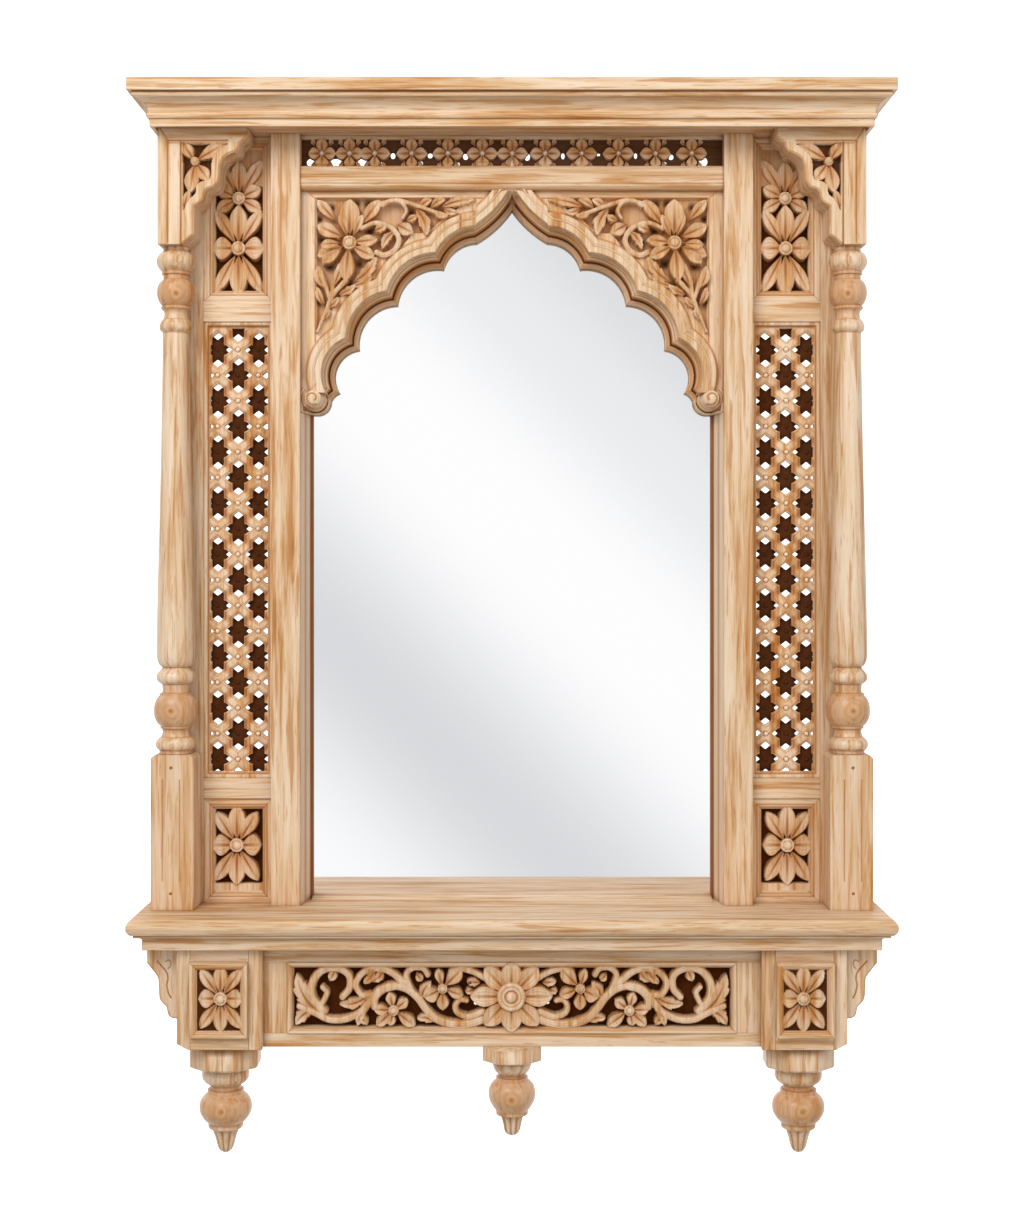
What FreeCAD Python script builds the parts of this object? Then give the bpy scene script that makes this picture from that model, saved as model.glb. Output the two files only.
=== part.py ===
# Carved jharokha wall mirror in limed pine, in millimetres.
#
# X runs to the right, Y into the wall and Z up. The wall plane is Y = 0 and the
# shelf board is centred on Z = 0. "Forward" is measured from the wall towards
# the room, so a face 86 forward lies at Y = -86.
import FreeCAD, Part
import math
import operator
import os
import Sketcher

SIZES = {
    # Shelf board, the widest level below the mirror.
    "shelf_half_width": 430.5,
    "shelf_depth": 180.0,
    "shelf_thickness": 18.0,
    "shelf_nose_bow": 5.0,
    # Moulding under the shelf.
    "shelf_moulding_inset": 7.0,
    "shelf_moulding_height": 18.1,
    "shelf_bead_height": 3.2,
    "shelf_bead_bow": 1.3,
    "shelf_cove_height": 3.0,
    "shelf_cove_run": 7.4,
    "shelf_cove_bow": 1.2,
    "shelf_moulding_thickness": 22.0,
    # Carcass between the shelf and the cornice.
    "frame_height": 897.8,
    "field_half_width": 246.5,
    "inner_stile_width": 33.7,
    "bay_width": 81.3,
    "outer_stile_width": 45.5,
    "outer_stile_forward": 67.0,
    "board_thickness": 18.0,
    "inner_stile_forward": 86.0,
    "back_inset": 14.0,
    # Glass and what holds it.
    "glass_half_width": 252.5,
    "glass_gap": 1.0,
    "glass_thickness": 4.0,
    "back_panel_thickness": 3.0,
    "glass_forward": 27.0,
    "sight_half_width": 236.7,
    "bevel_lip": 5.0,
    "bevel_setback": 10.0,
    "bevel_quirk": 2.8,
    "sill_height": 3.5,
    "sill_forward": 60.0,
    # Cornice: cap board, moulding on three sides and soffit board.
    "cornice_half_width": 433.5,
    "cornice_depth": 160.0,
    "cap_thickness": 14.0,
    "cornice_height": 36.2,
    "cornice_lip_drop": 4.0,
    "cornice_thickness": 26.5,
    "cornice_bead_inset": 6.0,
    "cornice_bead_height": 6.0,
    "cornice_bead_bow": 1.8,
    "cornice_cove_inset": 20.5,
    "cornice_cove_bow": 4.0,
    "cornice_lower_bead_height": 6.6,
    "cornice_fascia_height": 8.6,
    "cornice_fascia_inset": 22.0,
    "soffit_thickness": 12.0,
    # Rails and carved panels in the side bays.
    "rail_height": 24.0,
    "panel_ground": 6.0,
    "panel_frame_forward": 65.0,
    "panel_border": 13.3,
    "panel_foot": 11.0,
    "relief_height": 9.0,
    "jali_border": 7.0,
    "jali_forward": 60.0,
    "jali_thickness": 8.0,
    "jali_column_step": 24.0,
    "star_half_height": 20.0,
    "star_half_width": 15.5,
    "star_waist": 5.2,
    # Header behind the frieze, and the frieze.
    "frieze_height": 37.8,
    "frieze_rail_height": 19.2,
    "frieze_rail_forward": 83.0,
    "frieze_rail_back": 60.0,
    "frieze_jali_forward": 75.0,
    "frieze_jali_thickness": 8.0,
    "frieze_hole_half_height": 14.0,
    "frieze_hole_half_width": 8.0,
    "frieze_hole_waist": 3.5,
    "ovolo_height": 7.6,
    "ovolo_forward": 78.0,
    "ovolo_bow": 1.5,
    # Spandrel boards and the arch moulding.
    "spandrel_forward": 72.0,
    "arch_forward": 80.0,
    "arch_width": 22.0,
    "arch_seat": 12.0,
    "arch_roll_height": 4.0,
    "arch_roll_width": 4.0,
    "arch_roll_top": 6.0,
    "arch_lip_forward": 36.0,
    "scroll_radius": 16.5,
    "volute_radius": 9.0,
    "volute_height": 4.0,
    # Turned columns with their square foot, and the carved capitals.
    "column_x": 389.5,
    "plinth_side": 49.4,
    "plinth_height": 178.0,
    "plinth_chamfer": 3.5,
    "column_ball_radius": 25.3,
    "capital_outer_x": 406.5,
    "capital_post_width": 39.0,
    "capital_height": 133.7,
    "capital_reach": 103.7,
    "capital_thickness": 49.0,
    "capital_recess_depth": 12.0,
    "capital_relief": 9.0,
    # Corner blocks, corbels and apron under the shelf.
    "block_end_gap": 14.8,
    "block_width": 96.0,
    "block_drop": 114.8,
    "block_forward": 152.0,
    "block_depth": 98.0,
    "ear_width": 13.0,
    "ear_drop": 7.0,
    "block_panel_width": 65.0,
    "block_panel_height": 84.6,
    "block_panel_border": 7.3,
    "block_panel_ground": 3.0,
    "block_panel_forward": 157.0,
    "block_relief": 6.0,
    "apron_forward": 137.0,
    "apron_ground": 12.0,
    "apron_frame": 20.0,
    "rosette_reach": 39.0,
    "apron_top_rail": 37.0,
    "apron_bottom_rail": 15.5,
    "apron_stile_width": 27.0,
    "apron_panel_border": 8.4,
    "apron_relief": 8.0,
    "corbel_reach": 36.5,
    "corbel_drop": 84.0,
    # Turned drops.
    "finial_forward": 103.0,
    "centre_finial_forward": 126.0,
    "finial_height": 130.0,
    "finial_ball_radius": 30.0,
    "finial_cap_radius": 40.0,
    "finial_cap_height": 29.0,
    "centre_finial_height": 103.7,
    "centre_finial_ball_radius": 27.0,
    "centre_finial_cap_radius": 33.0,
    "centre_finial_cap_height": 16.0,
    # Swinging rings on strap plates, on the back of the inner stiles.
    "hanger_x": 266.8,
    "strap_width": 12.0,
    "strap_thickness": 1.2,
    "strap_length": 42.0,
    "strap_loop_bore": 2.0,
    "ring_wire": 3.0,
    "ring_bar_radius": 1.4,
    "ring_width": 24.0,
    "ring_drop": 22.0,
    "screw_head_radius": 3.5,
    "screw_head_flat": 2.2,
    "screw_head_height": 1.6,
    "screw_shank_radius": 1.6,
    "screw_length": 14.0,
    "screw_drop": 35.0,
    "cut_overrun": 5.0,
}

# Heights on the frame as shares of its own height, and the spacing of the
# jali's stars as a share of the jali's height.
LOWER_PANEL_SHARE = 0.13645
JALI_SHARE = 0.59590
JALI_PITCH_SHARE = 0.11215
HANGER_SHARE = 0.88104
# Foils of the arch from the crown down: centre across and up from the springing,
# and radius, as shares of the field's half width.
FOIL_SHARES = (
    (0.1663, 0.6665, 0.1688),
    (0.3598, 0.5152, 0.1939),
    (0.5517, 0.3436, 0.1890),
    (0.7233, 0.1838, 0.1331),
)
# Corners of the opening just inside the cusps, from the crown's joint down.
CUSP_SHARES = (
    (0.1700, 0.8316),
    (0.3278, 0.7034),
    (0.5505, 0.5294),
    (0.7355, 0.3136),
    (0.8357, 0.1152),
)
CROWN_CENTRE_SHARES = (0.4349, 1.2961)
CROWN_RADIUS_SHARE = 0.5310
CROWN_SEAT_SHARES = ((0, 1.0876), (0.1846, 0.8840))
CROWN_SEAT_BOW_SHARE = 0.020
# Upper end of the crown's joint, and how far the joint is drawn on past its foot.
JOINT_TOP_SHARE = 0.2394
JOINT_FOOT_SHARE = 0.06
SCROLL_ACROSS_SHARE = 0.9420
SCROLL_NOTCH_BOW_SHARE = -0.006
SCROLL_BLOCK_SHARES = (
    (0.828, 0.000),
    (1.000, 0.000),
    (1.000, 0.093),
    (0.957, 0.125),
    (0.925, 0.157),
    (0.828, 0.182),
)
ARCH_RISE_SHARE = 1.0815
QUARTER_BOW_SHARE = 1 - math.sqrt(0.5)
SPANDREL_FOOT_SHARE = 0.09

# Turned column between plinth and capital: radius as a share of the ball's
# radius, height as a share of the turned length, and the swell of the edge to
# the next point as a share of the ball's radius.
COLUMN_SHARES = (
    (0.87, 0.000),
    (0.87, 0.032),
    (0.60, 0.048, 0.37),
    (0.60, 0.119),
    (0.87, 0.141),
    (0.60, 0.163),
    (0.83, 0.203, 0.02),
    (0.59, 0.832),
    (0.74, 0.843),
    (0.55, 0.858),
    (0.55, 0.880, 0.31),
    (0.55, 0.936),
    (0.87, 0.969),
    (0.60, 1.000),
)
# Turned drop from the tip up to its cap, in shares of its ball's radius and of
# the height under the cap.
FINIAL_SHARES = (
    (0.20, 0.000),
    (0.35, 0.070),
    (0.42, 0.240),
    (0.66, 0.302),
    (0.60, 0.340, 0.39),
    (0.60, 0.720),
    (0.59, 0.804),
    (0.90, 0.900),
    (0.90, 1.000),
)
# Scalloped inner edge of the capital from the foot up: reach from the post as a
# share of the capital's reach, height as a share of its height, and the bow of
# the edge below.
CAPITAL_SHARES = (
    (0.020, 0.325),
    (0.125, 0.390, -0.010),
    (0.160, 0.455, 0.010),
    (0.285, 0.510, -0.015),
    (0.320, 0.640, 0.030),
    (0.360, 0.740, -0.010),
    (0.500, 0.810, -0.020),
    (0.560, 0.870, 0.010),
    (0.625, 0.890),
)
CAPITAL_RECESS_SHARES = (
    (-0.12, 0.290),
    (-0.04, 0.328),
    (0.03, 0.426),
    (0.15, 0.515),
    (0.20, 0.620),
    (0.25, 0.740),
    (0.41, 0.867),
    (-0.12, 0.867),
)
CAPITAL_FLOWER_SHARES = (0.034, 0.719, 0.328)
CAPITAL_PETAL_SHARES = (
    (0.38, 0.60, 0.38),
    (-1.00, 0.58, 0.42),
    (0.18, -1.02, 0.50),
    (-0.45, -0.62, 0.42),
)
# Stepped outer edge of a corbel, as shares of its reach and its drop.
CORBEL_SHARES = (
    (0.08, 1.00, 0.04),
    (0.34, 0.93),
    (0.41, 0.83, 0.03),
    (0.61, 0.70),
    (0.64, 0.45, 0.05),
    (0.82, 0.33),
    (1.00, 0.27),
)
# Half outline of a carved leaf: along its length and across its width.
LEAF_SHARES = ((0.0, 0.13), (0.50, 0.50), (1.0, 0.0))
LEAF_CREST_SHARE = 0.72
BOSS_SHARE = 0.27
# Petals of the carved flowers: tip across and up from the flower's centre, and
# width, as shares of the flower's half height.
ROUND_FLOWER_SHARES = (
    (0.00, 1.00, 0.40),
    (0.50, 0.84, 0.30),
    (0.57, 0.00, 0.50),
    (0.50, -0.84, 0.30),
    (0.00, -1.00, 0.40),
    (-0.50, -0.84, 0.30),
    (-0.57, 0.00, 0.50),
    (-0.50, 0.84, 0.30),
)
CREST_FLOWER_SHARES = (
    (0.00, 1.00, 0.42),
    (0.60, 0.98, 0.34),
    (0.60, 0.28, 0.40),
    (0.60, -0.28, 0.36),
    (-0.60, -0.28, 0.36),
    (-0.60, 0.28, 0.40),
    (-0.60, 0.98, 0.34),
)
ROSETTE_SHARES = (
    (0.00, 1.00, 0.60),
    (0.76, 0.80, 0.52),
    (1.17, 0.00, 0.60),
    (0.76, -0.80, 0.52),
    (0.00, -1.00, 0.60),
    (-0.76, -0.80, 0.52),
    (-1.17, 0.00, 0.60),
    (-0.76, 0.80, 0.52),
)
# Flowers of the upper panel: height of the centre up the opening and the flower's
# half height, as shares of the opening's height.
UPPER_FLOWERS = (
    (0.300, 0.326, ROUND_FLOWER_SHARES),
    (0.657, 0.270, CREST_FLOWER_SHARES),
)
PANEL_FLOWER_SHARE = 1.10
# Leaves of the spandrel: root and tip, across from the centre line and up from
# the springing, and width, as shares of the field's half width.
SPANDREL_LEAF_SHARES = (
    (0.767, 0.802, 0.767, 1.010, 0.100),
    (0.767, 0.802, 0.918, 1.005, 0.075),
    (0.767, 0.802, 0.920, 0.878, 0.085),
    (0.767, 0.802, 0.922, 0.745, 0.085),
    (0.767, 0.802, 0.775, 0.622, 0.080),
    (0.767, 0.802, 0.656, 0.731, 0.075),
    (0.767, 0.802, 0.632, 0.802, 0.080),
    (0.767, 0.802, 0.613, 0.998, 0.075),
    (0.780, 0.640, 0.918, 0.376, 0.075),
    (0.840, 0.590, 0.905, 0.690, 0.055),
    (0.860, 0.540, 0.680, 0.700, 0.060),
    (0.640, 0.960, 0.480, 0.860, 0.065),
    (0.540, 1.000, 0.400, 0.830, 0.060),
    (0.600, 1.010, 0.170, 1.003, 0.070),
    (0.480, 0.980, 0.300, 0.930, 0.060),
)
# Apron scroll on the right: root and tip across from the centre line and up
# from the panel's middle, and width, as shares of half the panel's opening.
APRON_LEAF_SHARES = (
    (0.17, -0.08, 0.24, -0.12, 0.030),
    (0.22, -0.12, 0.40, -0.10, 0.045),
    (0.38, -0.11, 0.50, 0.04, 0.045),
    (0.49, 0.02, 0.64, 0.07, 0.040),
    (0.62, 0.07, 0.72, -0.10, 0.045),
    (0.70, -0.10, 0.90, -0.09, 0.050),
    (0.88, -0.10, 0.95, 0.05, 0.045),
    (0.86, -0.02, 0.74, 0.11, 0.060),
    (0.42, -0.02, 0.43, 0.12, 0.055),
    (0.63, 0.06, 0.56, 0.13, 0.050),
)
APRON_FLOWER_SHARES = ((0.315, 0.035), (0.545, -0.065))
ROSETTE_HUB_SHARE = 0.60
SMALL_PETAL_COUNT = 5
SMALL_PETAL_SHARE = 0.62
SMALL_FLOWER_SHARE = 0.085
SPANDREL_BOSS_SHARE = 0.037
JALI_SIDE_STARS = 9
JALI_CENTRE_STARS = 8
FRIEZE_HOLES = 12
OCTAGON_SIDES = 8
ALLOWED_STATES = {"Up-to-date", "Touched"}

doc = FreeCAD.newDocument("JharokhaMirror")
OPERATIONS = {
    "+": operator.add,
    "-": operator.sub,
    "*": operator.mul,
    "/": operator.truediv,
}


class Size:
    """A number together with the sheet formula that gives it."""

    def __init__(self, value, formula):
        self.value = value
        self.formula = formula

    def __add__(self, other):
        return combined(self, "+", other)

    def __radd__(self, other):
        return combined(other, "+", self)

    def __sub__(self, other):
        return combined(self, "-", other)

    def __rsub__(self, other):
        return combined(other, "-", self)

    def __mul__(self, other):
        return combined(self, "*", other)

    def __rmul__(self, other):
        return combined(other, "*", self)

    def __truediv__(self, other):
        return combined(self, "/", other)

    def __neg__(self):
        return combined(0, "-", self)


def as_size(number):
    """A plain number, such as a share or zero, as a Size."""
    if isinstance(number, Size):
        return number
    return Size(float(number), f"{float(number)}")


def combined(left, sign, right):
    """The sum, difference, product or ratio of two sizes."""
    left = as_size(left)
    right = as_size(right)
    value = OPERATIONS[sign](left.value, right.value)
    return Size(value, f"({left.formula} {sign} {right.formula})")


def make_sheet():
    """Writes the driving dimensions into a sheet, one row each."""
    sheet = doc.addObject("Spreadsheet::Sheet", "Sizes")
    for row, (name, value) in enumerate(SIZES.items(), start=1):
        sheet.set(f"A{row}", name)
        sheet.set(f"B{row}", str(value))
        sheet.setAlias(f"B{row}", name)
    doc.recompute()
    return {name: Size(value, f"Sizes.{name}") for name, value in SIZES.items()}


size = make_sheet()


def bind(thing, path, length):
    """Ties a property of an object to a size."""
    thing.setExpression(path, as_size(length).formula)


def box(name, across, forward, height):
    """A board between two places across, two forward and two in height."""
    board = doc.addObject("Part::Box", name)
    bind(board, "Length", across[1] - across[0])
    bind(board, "Width", forward[1] - forward[0])
    bind(board, "Height", height[1] - height[0])
    bind(board, "Placement.Base.x", across[0])
    bind(board, "Placement.Base.y", -as_size(forward[1]))
    bind(board, "Placement.Base.z", height[0])
    return board


def mirrored(name, source):
    """The left-hand twin of a right-hand piece."""
    twin = doc.addObject("Part::Mirroring", name)
    twin.Source = source
    twin.Normal = (1, 0, 0)
    return twin


def united(name, pieces):
    """Several shapes made one."""
    union = doc.addObject("Part::MultiFuse", name)
    union.Shapes = pieces
    return union


def cut(name, base, tool):
    """A piece with the room for another taken out of it."""
    result = doc.addObject("Part::Cut", name)
    result.Base = base
    result.Tool = tool
    return result


def new_body(name):
    """A body that holds one carved or moulded piece."""
    return doc.addObject("PartDesign::Body", name)


def sketch_on(body, name, role, offset, shift=(0, 0)):
    """An empty sketch parallel to one of the body's own planes."""
    planes = [plane for plane in body.Origin.OriginFeatures if plane.Role == role]
    sketch = body.newObject("Sketcher::SketchObject", name)
    sketch.AttachmentSupport = [(planes[0], "")]
    sketch.MapMode = "FlatFace"
    bind(sketch, "AttachmentOffset.Base.x", shift[0])
    bind(sketch, "AttachmentOffset.Base.y", shift[1])
    bind(sketch, "AttachmentOffset.Base.z", offset)
    return sketch


def flat_point(corner):
    """The place in the sketch of an outline's corner."""
    return FreeCAD.Vector(as_size(corner[0]).value, as_size(corner[1]).value, 0)


def bowed_edge(start, end, bow):
    """An arc that swells to the right of the way from start to end."""
    along = end - start
    out = FreeCAD.Vector(along.y, -along.x, 0).normalize()
    middle = (start + end) * 0.5 + out * bow
    return Part.Arc(start, middle, end)


def bow_radius(corner, following, bow):
    """The radius of an arc with a given bow between two corners."""
    across = following[0] - as_size(corner[0])
    up = following[1] - as_size(corner[1])
    return ((across * across + up * up) / 4 + bow * bow) / (2 * bow)


def fix_point(sketch, geometry, end, corner):
    """Holds an end of an edge at its two distances from the sketch's origin."""
    for kind, axis, distance in (("DistanceX", -2, corner[0]), ("DistanceY", -1, corner[1])):
        distance = as_size(distance)
        if distance.value == 0:
            sketch.addConstraint(Sketcher.Constraint("PointOnObject", geometry, end, axis))
        else:
            held = Sketcher.Constraint(kind, -1, 1, geometry, end, distance.value)
            number = sketch.addConstraint(held)
            bind(sketch, f"Constraints[{number}]", distance)


def add_outline(sketch, corners):
    """Draws a closed outline; a corner's third number bows its edge outwards."""
    first = sketch.GeometryCount
    count = len(corners)
    ends = []
    for index, corner in enumerate(corners):
        following = corners[(index + 1) % count]
        start = flat_point(corner)
        end = flat_point(following)
        if len(corner) == 2:
            sketch.addGeometry(Part.LineSegment(start, end))
            ends.append((1, 2))
            continue
        bow = as_size(corner[2])
        sketch.addGeometry(bowed_edge(start, end, bow.value))
        ends.append((1, 2) if bow.value > 0 else (2, 1))
        radius = bow_radius(corner, following, bow if bow.value > 0 else -bow)
        held = Sketcher.Constraint("Radius", first + index, radius.value)
        bind(sketch, f"Constraints[{sketch.addConstraint(held)}]", radius)
    for index, corner in enumerate(corners):
        before = (index - 1) % count
        joined = Sketcher.Constraint(
            "Coincident", first + before, ends[before][1], first + index, ends[index][0]
        )
        sketch.addConstraint(joined)
        fix_point(sketch, first + index, ends[index][0], corner)


def rectangle(across, up):
    """The corners of a rectangle, anticlockwise."""
    return [
        (across[0], up[0]),
        (across[1], up[0]),
        (across[1], up[1]),
        (across[0], up[1]),
    ]


def feature(body, kind, sketch):
    """A feature of the body made from one sketch."""
    made = body.newObject(f"PartDesign::{kind}", f"{sketch.Name}_{kind.lower()}")
    made.Profile = sketch
    sketch.Visibility = False
    return made


def pad(body, name, role, offset, length, *outlines):
    """Raises outlines from a plane of the body by a length."""
    sketch = sketch_on(body, name, role, offset)
    for corners in outlines:
        add_outline(sketch, corners)
    raised = feature(body, "Pad", sketch)
    bind(raised, "Length", length)
    return raised


def pocket(body, name, role, offset, length, *outlines):
    """Sinks outlines into the body, along the plane's own direction."""
    sketch = sketch_on(body, name, role, offset)
    for corners in outlines:
        add_outline(sketch, corners)
    sunk = feature(body, "Pocket", sketch)
    bind(sunk, "Length", length)
    sunk.Reversed = True
    return sunk


def add_circle(sketch, centre, radius):
    """A circle held by its centre and radius."""
    number = sketch.GeometryCount
    upright = FreeCAD.Vector(0, 0, 1)
    sketch.addGeometry(Part.Circle(flat_point(centre), upright, radius.value))
    held = Sketcher.Constraint("Radius", number, radius.value)
    bind(sketch, f"Constraints[{sketch.addConstraint(held)}]", radius)
    fix_point(sketch, number, 3, centre)


def round_pad(body, name, role, offset, length, centre, radius):
    """Raises a circle from a plane of the body."""
    sketch = sketch_on(body, name, role, offset)
    add_circle(sketch, centre, radius)
    bind(feature(body, "Pad", sketch), "Length", length)


def round_pocket(body, name, role, offset, length, centre, radius):
    """Sinks a round hole into the body, along the plane's own direction."""
    sketch = sketch_on(body, name, role, offset)
    add_circle(sketch, centre, radius)
    hole = feature(body, "Pocket", sketch)
    bind(hole, "Length", length)
    hole.Reversed = True


def turned(body, kind, name, role, centre, axis, corners):
    """Spins a section about an axis of its sketch; centre is (offset, shift)."""
    sketch = sketch_on(body, name, role, centre[0], centre[1])
    add_outline(sketch, corners)
    spun = feature(body, kind, sketch)
    spun.ReferenceAxis = (sketch, [axis])
    spun.Angle = 360
    return spun


overrun = size["cut_overrun"]
shelf_top = size["shelf_thickness"] / 2
soffit = shelf_top + size["frame_height"]
field = size["field_half_width"]
bay_inner = field + size["inner_stile_width"]
bay_outer = bay_inner + size["bay_width"]
case_outer = bay_outer + size["outer_stile_width"]
bay_back = size["outer_stile_forward"] - size["board_thickness"]
pieces = {}


def keep(name, piece):
    """Labels a finished piece and lists it for the hand-in."""
    piece.Label = name
    pieces[name] = piece
    return piece


def keep_pair(stem, right):
    """Keeps a right-hand piece and its left-hand twin."""
    keep(f"{stem}_right", right)
    keep(f"{stem}_left", mirrored(f"{stem}_left", right))


# Cornice


def cornice_section(sign):
    """Section of the cornice moulding, from its inner face outwards.

    The first value is the inset from the cap board's edge, times sign.
    """
    lip = soffit - size["cornice_lip_drop"]
    top = lip + size["cornice_height"]
    bead = top - size["cornice_bead_height"]
    fascia = lip + size["cornice_fascia_height"]
    lower_bead = fascia + size["cornice_lower_bead_height"]
    bow = size["cornice_bead_bow"] * -sign
    cove = size["cornice_cove_bow"] * sign
    return lip, top, [
        (size["cornice_bead_inset"], top, bow),
        (size["cornice_bead_inset"], bead, cove),
        (size["cornice_cove_inset"], lower_bead, bow),
        (size["cornice_cove_inset"], fascia),
        (size["cornice_fascia_inset"], fascia),
        (size["cornice_fascia_inset"], lip),
        (size["cornice_thickness"], lip),
        (size["cornice_thickness"], top),
    ]


def moulding_front(name, half_width, depth, thickness, section):
    """Front length of a moulding, mitred at both ends."""
    body = new_body(name)
    corners = [(corner[0] - depth, *corner[1:]) for corner in section]
    raised = pad(body, f"{name}_section", "YZ_Plane", 0, 2 * half_width, corners)
    raised.Midplane = True
    reach = thickness + overrun
    back = depth - reach
    for side, sign in (("left", -1), ("right", 1)):
        mitre = [
            (sign * half_width + sign * overrun, -depth - overrun),
            (sign * half_width + sign * overrun, -back),
            (sign * half_width - sign * reach, -back),
        ]
        heights = [corner[1] for corner in section]
        mitre_pocket(body, f"{name}_mitre_{side}", heights, mitre)
    return body


def mitre_pocket(body, name, heights, mitre):
    """Cuts a corner off a moulding, straight down through its height."""
    low = min(heights, key=lambda height: height.value)
    high = max(heights, key=lambda height: height.value)
    tall = high - low + 2 * overrun
    return pocket(body, name, "XY_Plane", low - overrun, tall, mitre)


def moulding_return(name, half_width, depth, thickness, section):
    """Right-hand return of a moulding, from the mitre back to the wall."""
    body = new_body(name)
    corners = [(half_width - corner[0], *corner[1:]) for corner in section]
    pad(body, f"{name}_section", "XZ_Plane", 0, depth, corners)
    reach = thickness + overrun
    mitre = [
        (half_width + overrun, -depth - overrun),
        (half_width - reach, -depth + reach),
        (half_width - reach, -depth - overrun),
    ]
    heights = [corner[1] for corner in section]
    mitre_pocket(body, f"{name}_mitre", heights, mitre)
    return body


def make_cornice():
    """Cap board, mitred moulding and soffit board."""
    half = size["cornice_half_width"]
    depth = size["cornice_depth"]
    thick = size["cornice_thickness"]
    lip, top, front = cornice_section(-1)
    side = cornice_section(1)[2]
    keep("top_board", box("top_board", (-half, half), (0, depth), (top, top + size["cap_thickness"])))
    keep("cornice_front", moulding_front("cornice_front", half, depth, thick, front))
    keep_pair("cornice", moulding_return("cornice_right", half, depth, thick, side))
    inner = half - thick
    high = soffit + size["soffit_thickness"]
    keep("soffit_board", box("soffit_board", (-inner, inner), (0, depth - thick), (soffit, high)))


# Carcass


def inner_stile():
    """Right-hand inner stile with its glass rebate and stopped bevel."""
    body = new_body("inner_stile_right")
    back = size["back_inset"]
    glass = size["glass_forward"]
    sight = size["sight_half_width"]
    rebate = size["glass_half_width"] + size["glass_gap"]
    bevel_front = size["inner_stile_forward"] - size["bevel_setback"]
    bevel_back = glass + size["bevel_lip"]
    section = [
        (rebate, -back),
        (rebate, -glass),
        (sight, -glass),
        (sight, -bevel_back),
        (sight + size["bevel_quirk"], -bevel_back),
        (field, -bevel_front),
        (field, -size["inner_stile_forward"]),
        (bay_inner, -size["inner_stile_forward"]),
        (bay_inner, -back),
    ]
    pad(body, "stile_section", "XY_Plane", shelf_top, size["frame_height"], section[::-1])
    room = rectangle((sight - overrun, field), (-size["inner_stile_forward"] - overrun, -glass))
    tall = soffit - springing() + overrun
    pocket(body, "stile_arch_room", "XY_Plane", springing(), tall, room)
    place = (size["hanger_x"], hanger_up() - size["screw_drop"])
    length = size["screw_length"] + overrun
    radius = size["screw_shank_radius"]
    round_pocket(body, "pilot_hole", "XZ_Plane", back - overrun, length, place, radius)
    return body


def make_carcass():
    """Stiles, side boards, rails and the header behind the frieze's rail."""
    tall = (shelf_top, soffit)
    front = size["outer_stile_forward"]
    keep_pair("inner_stile", inner_stile())
    keep_pair("outer_stile", box("outer_stile_right", (bay_outer, case_outer), (bay_back, front), tall))
    side = (case_outer - size["board_thickness"], case_outer)
    keep_pair("side_board", box("side_board_right", side, (0, bay_back), tall))
    header = (rail_low(), rail_low() + size["frieze_rail_height"])
    depth = (size["back_inset"], size["frieze_rail_back"])
    keep("header_rail", box("header_rail", (-field, field), depth, header))
    for stem, low in (("lower_rail", lower_rail_low()), ("upper_rail", upper_rail_low())):
        up = (low, low + size["rail_height"])
        rail = box(f"{stem}_right", (bay_inner, bay_outer), (bay_back, front), up)
        keep_pair(stem, rail)


def lower_rail_low():
    """Height of the lower rail's underside."""
    return shelf_top + size["frame_height"] * LOWER_PANEL_SHARE


def jali_low():
    """Height of the jali's lower edge, on the lower rail."""
    return lower_rail_low() + size["rail_height"]


def upper_rail_low():
    """Height of the upper rail's underside, on the jali."""
    return jali_low() + size["frame_height"] * JALI_SHARE


def hanger_up():
    """Height of the axis that the hanger rings swing on."""
    return shelf_top + size["frame_height"] * HANGER_SHARE


def springing():
    """Height from which the arch is measured, under its scroll ends."""
    return rail_low() - field * ARCH_RISE_SHARE


def rail_low():
    """Height of the frieze rail's underside."""
    return soffit - size["frieze_height"] - size["frieze_rail_height"]


# Mirror


def make_mirror():
    """Glass, back panel and the low sill strip under the glass."""
    wide = (-size["glass_half_width"], size["glass_half_width"])
    tall = (shelf_top, rail_low() - size["glass_gap"])
    glass_back = size["glass_forward"] - size["glass_thickness"]
    keep("mirror_glass", box("mirror_glass", wide, (glass_back, size["glass_forward"]), tall))
    panel_back = glass_back - size["back_panel_thickness"]
    keep("back_panel", box("back_panel", wide, (panel_back, glass_back), tall))
    body = new_body("mirror_sill")
    glass = size["glass_forward"]
    section = [
        (-size["sill_forward"], shelf_top),
        (-glass, shelf_top),
        (-glass, shelf_top + size["sill_height"]),
        (-glass - size["bevel_lip"], shelf_top + size["sill_height"]),
    ]
    sight = size["sight_half_width"]
    sill = pad(body, "sill_section", "YZ_Plane", 0, 2 * sight, section)
    sill.Midplane = True
    keep("mirror_sill", body)


# Frieze


def star(across, up, half_width, half_height, waist):
    """A hole with four pointed arms, as the outline of its eight corners."""
    return [
        (across + half_width, up),
        (across + waist, up + waist),
        (across, up + half_height),
        (across - waist, up + waist),
        (across - half_width, up),
        (across - waist, up - waist),
        (across, up - half_height),
        (across + waist, up - waist),
    ]


def pierced_row(body, name, length, outline, axis, span, count):
    """Sinks one hole through a board and repeats it along a sketch axis."""
    hole = pocket(body, name, "XZ_Plane", 0, length, outline)
    if count == 1:
        return hole
    row = body.newObject("PartDesign::LinearPattern", f"{name}_row")
    row.Originals = [hole]
    row.Direction = (hole.Profile[0], [axis])
    bind(row, "Length", span)
    row.Occurrences = count
    body.Tip = row
    return row


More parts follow.
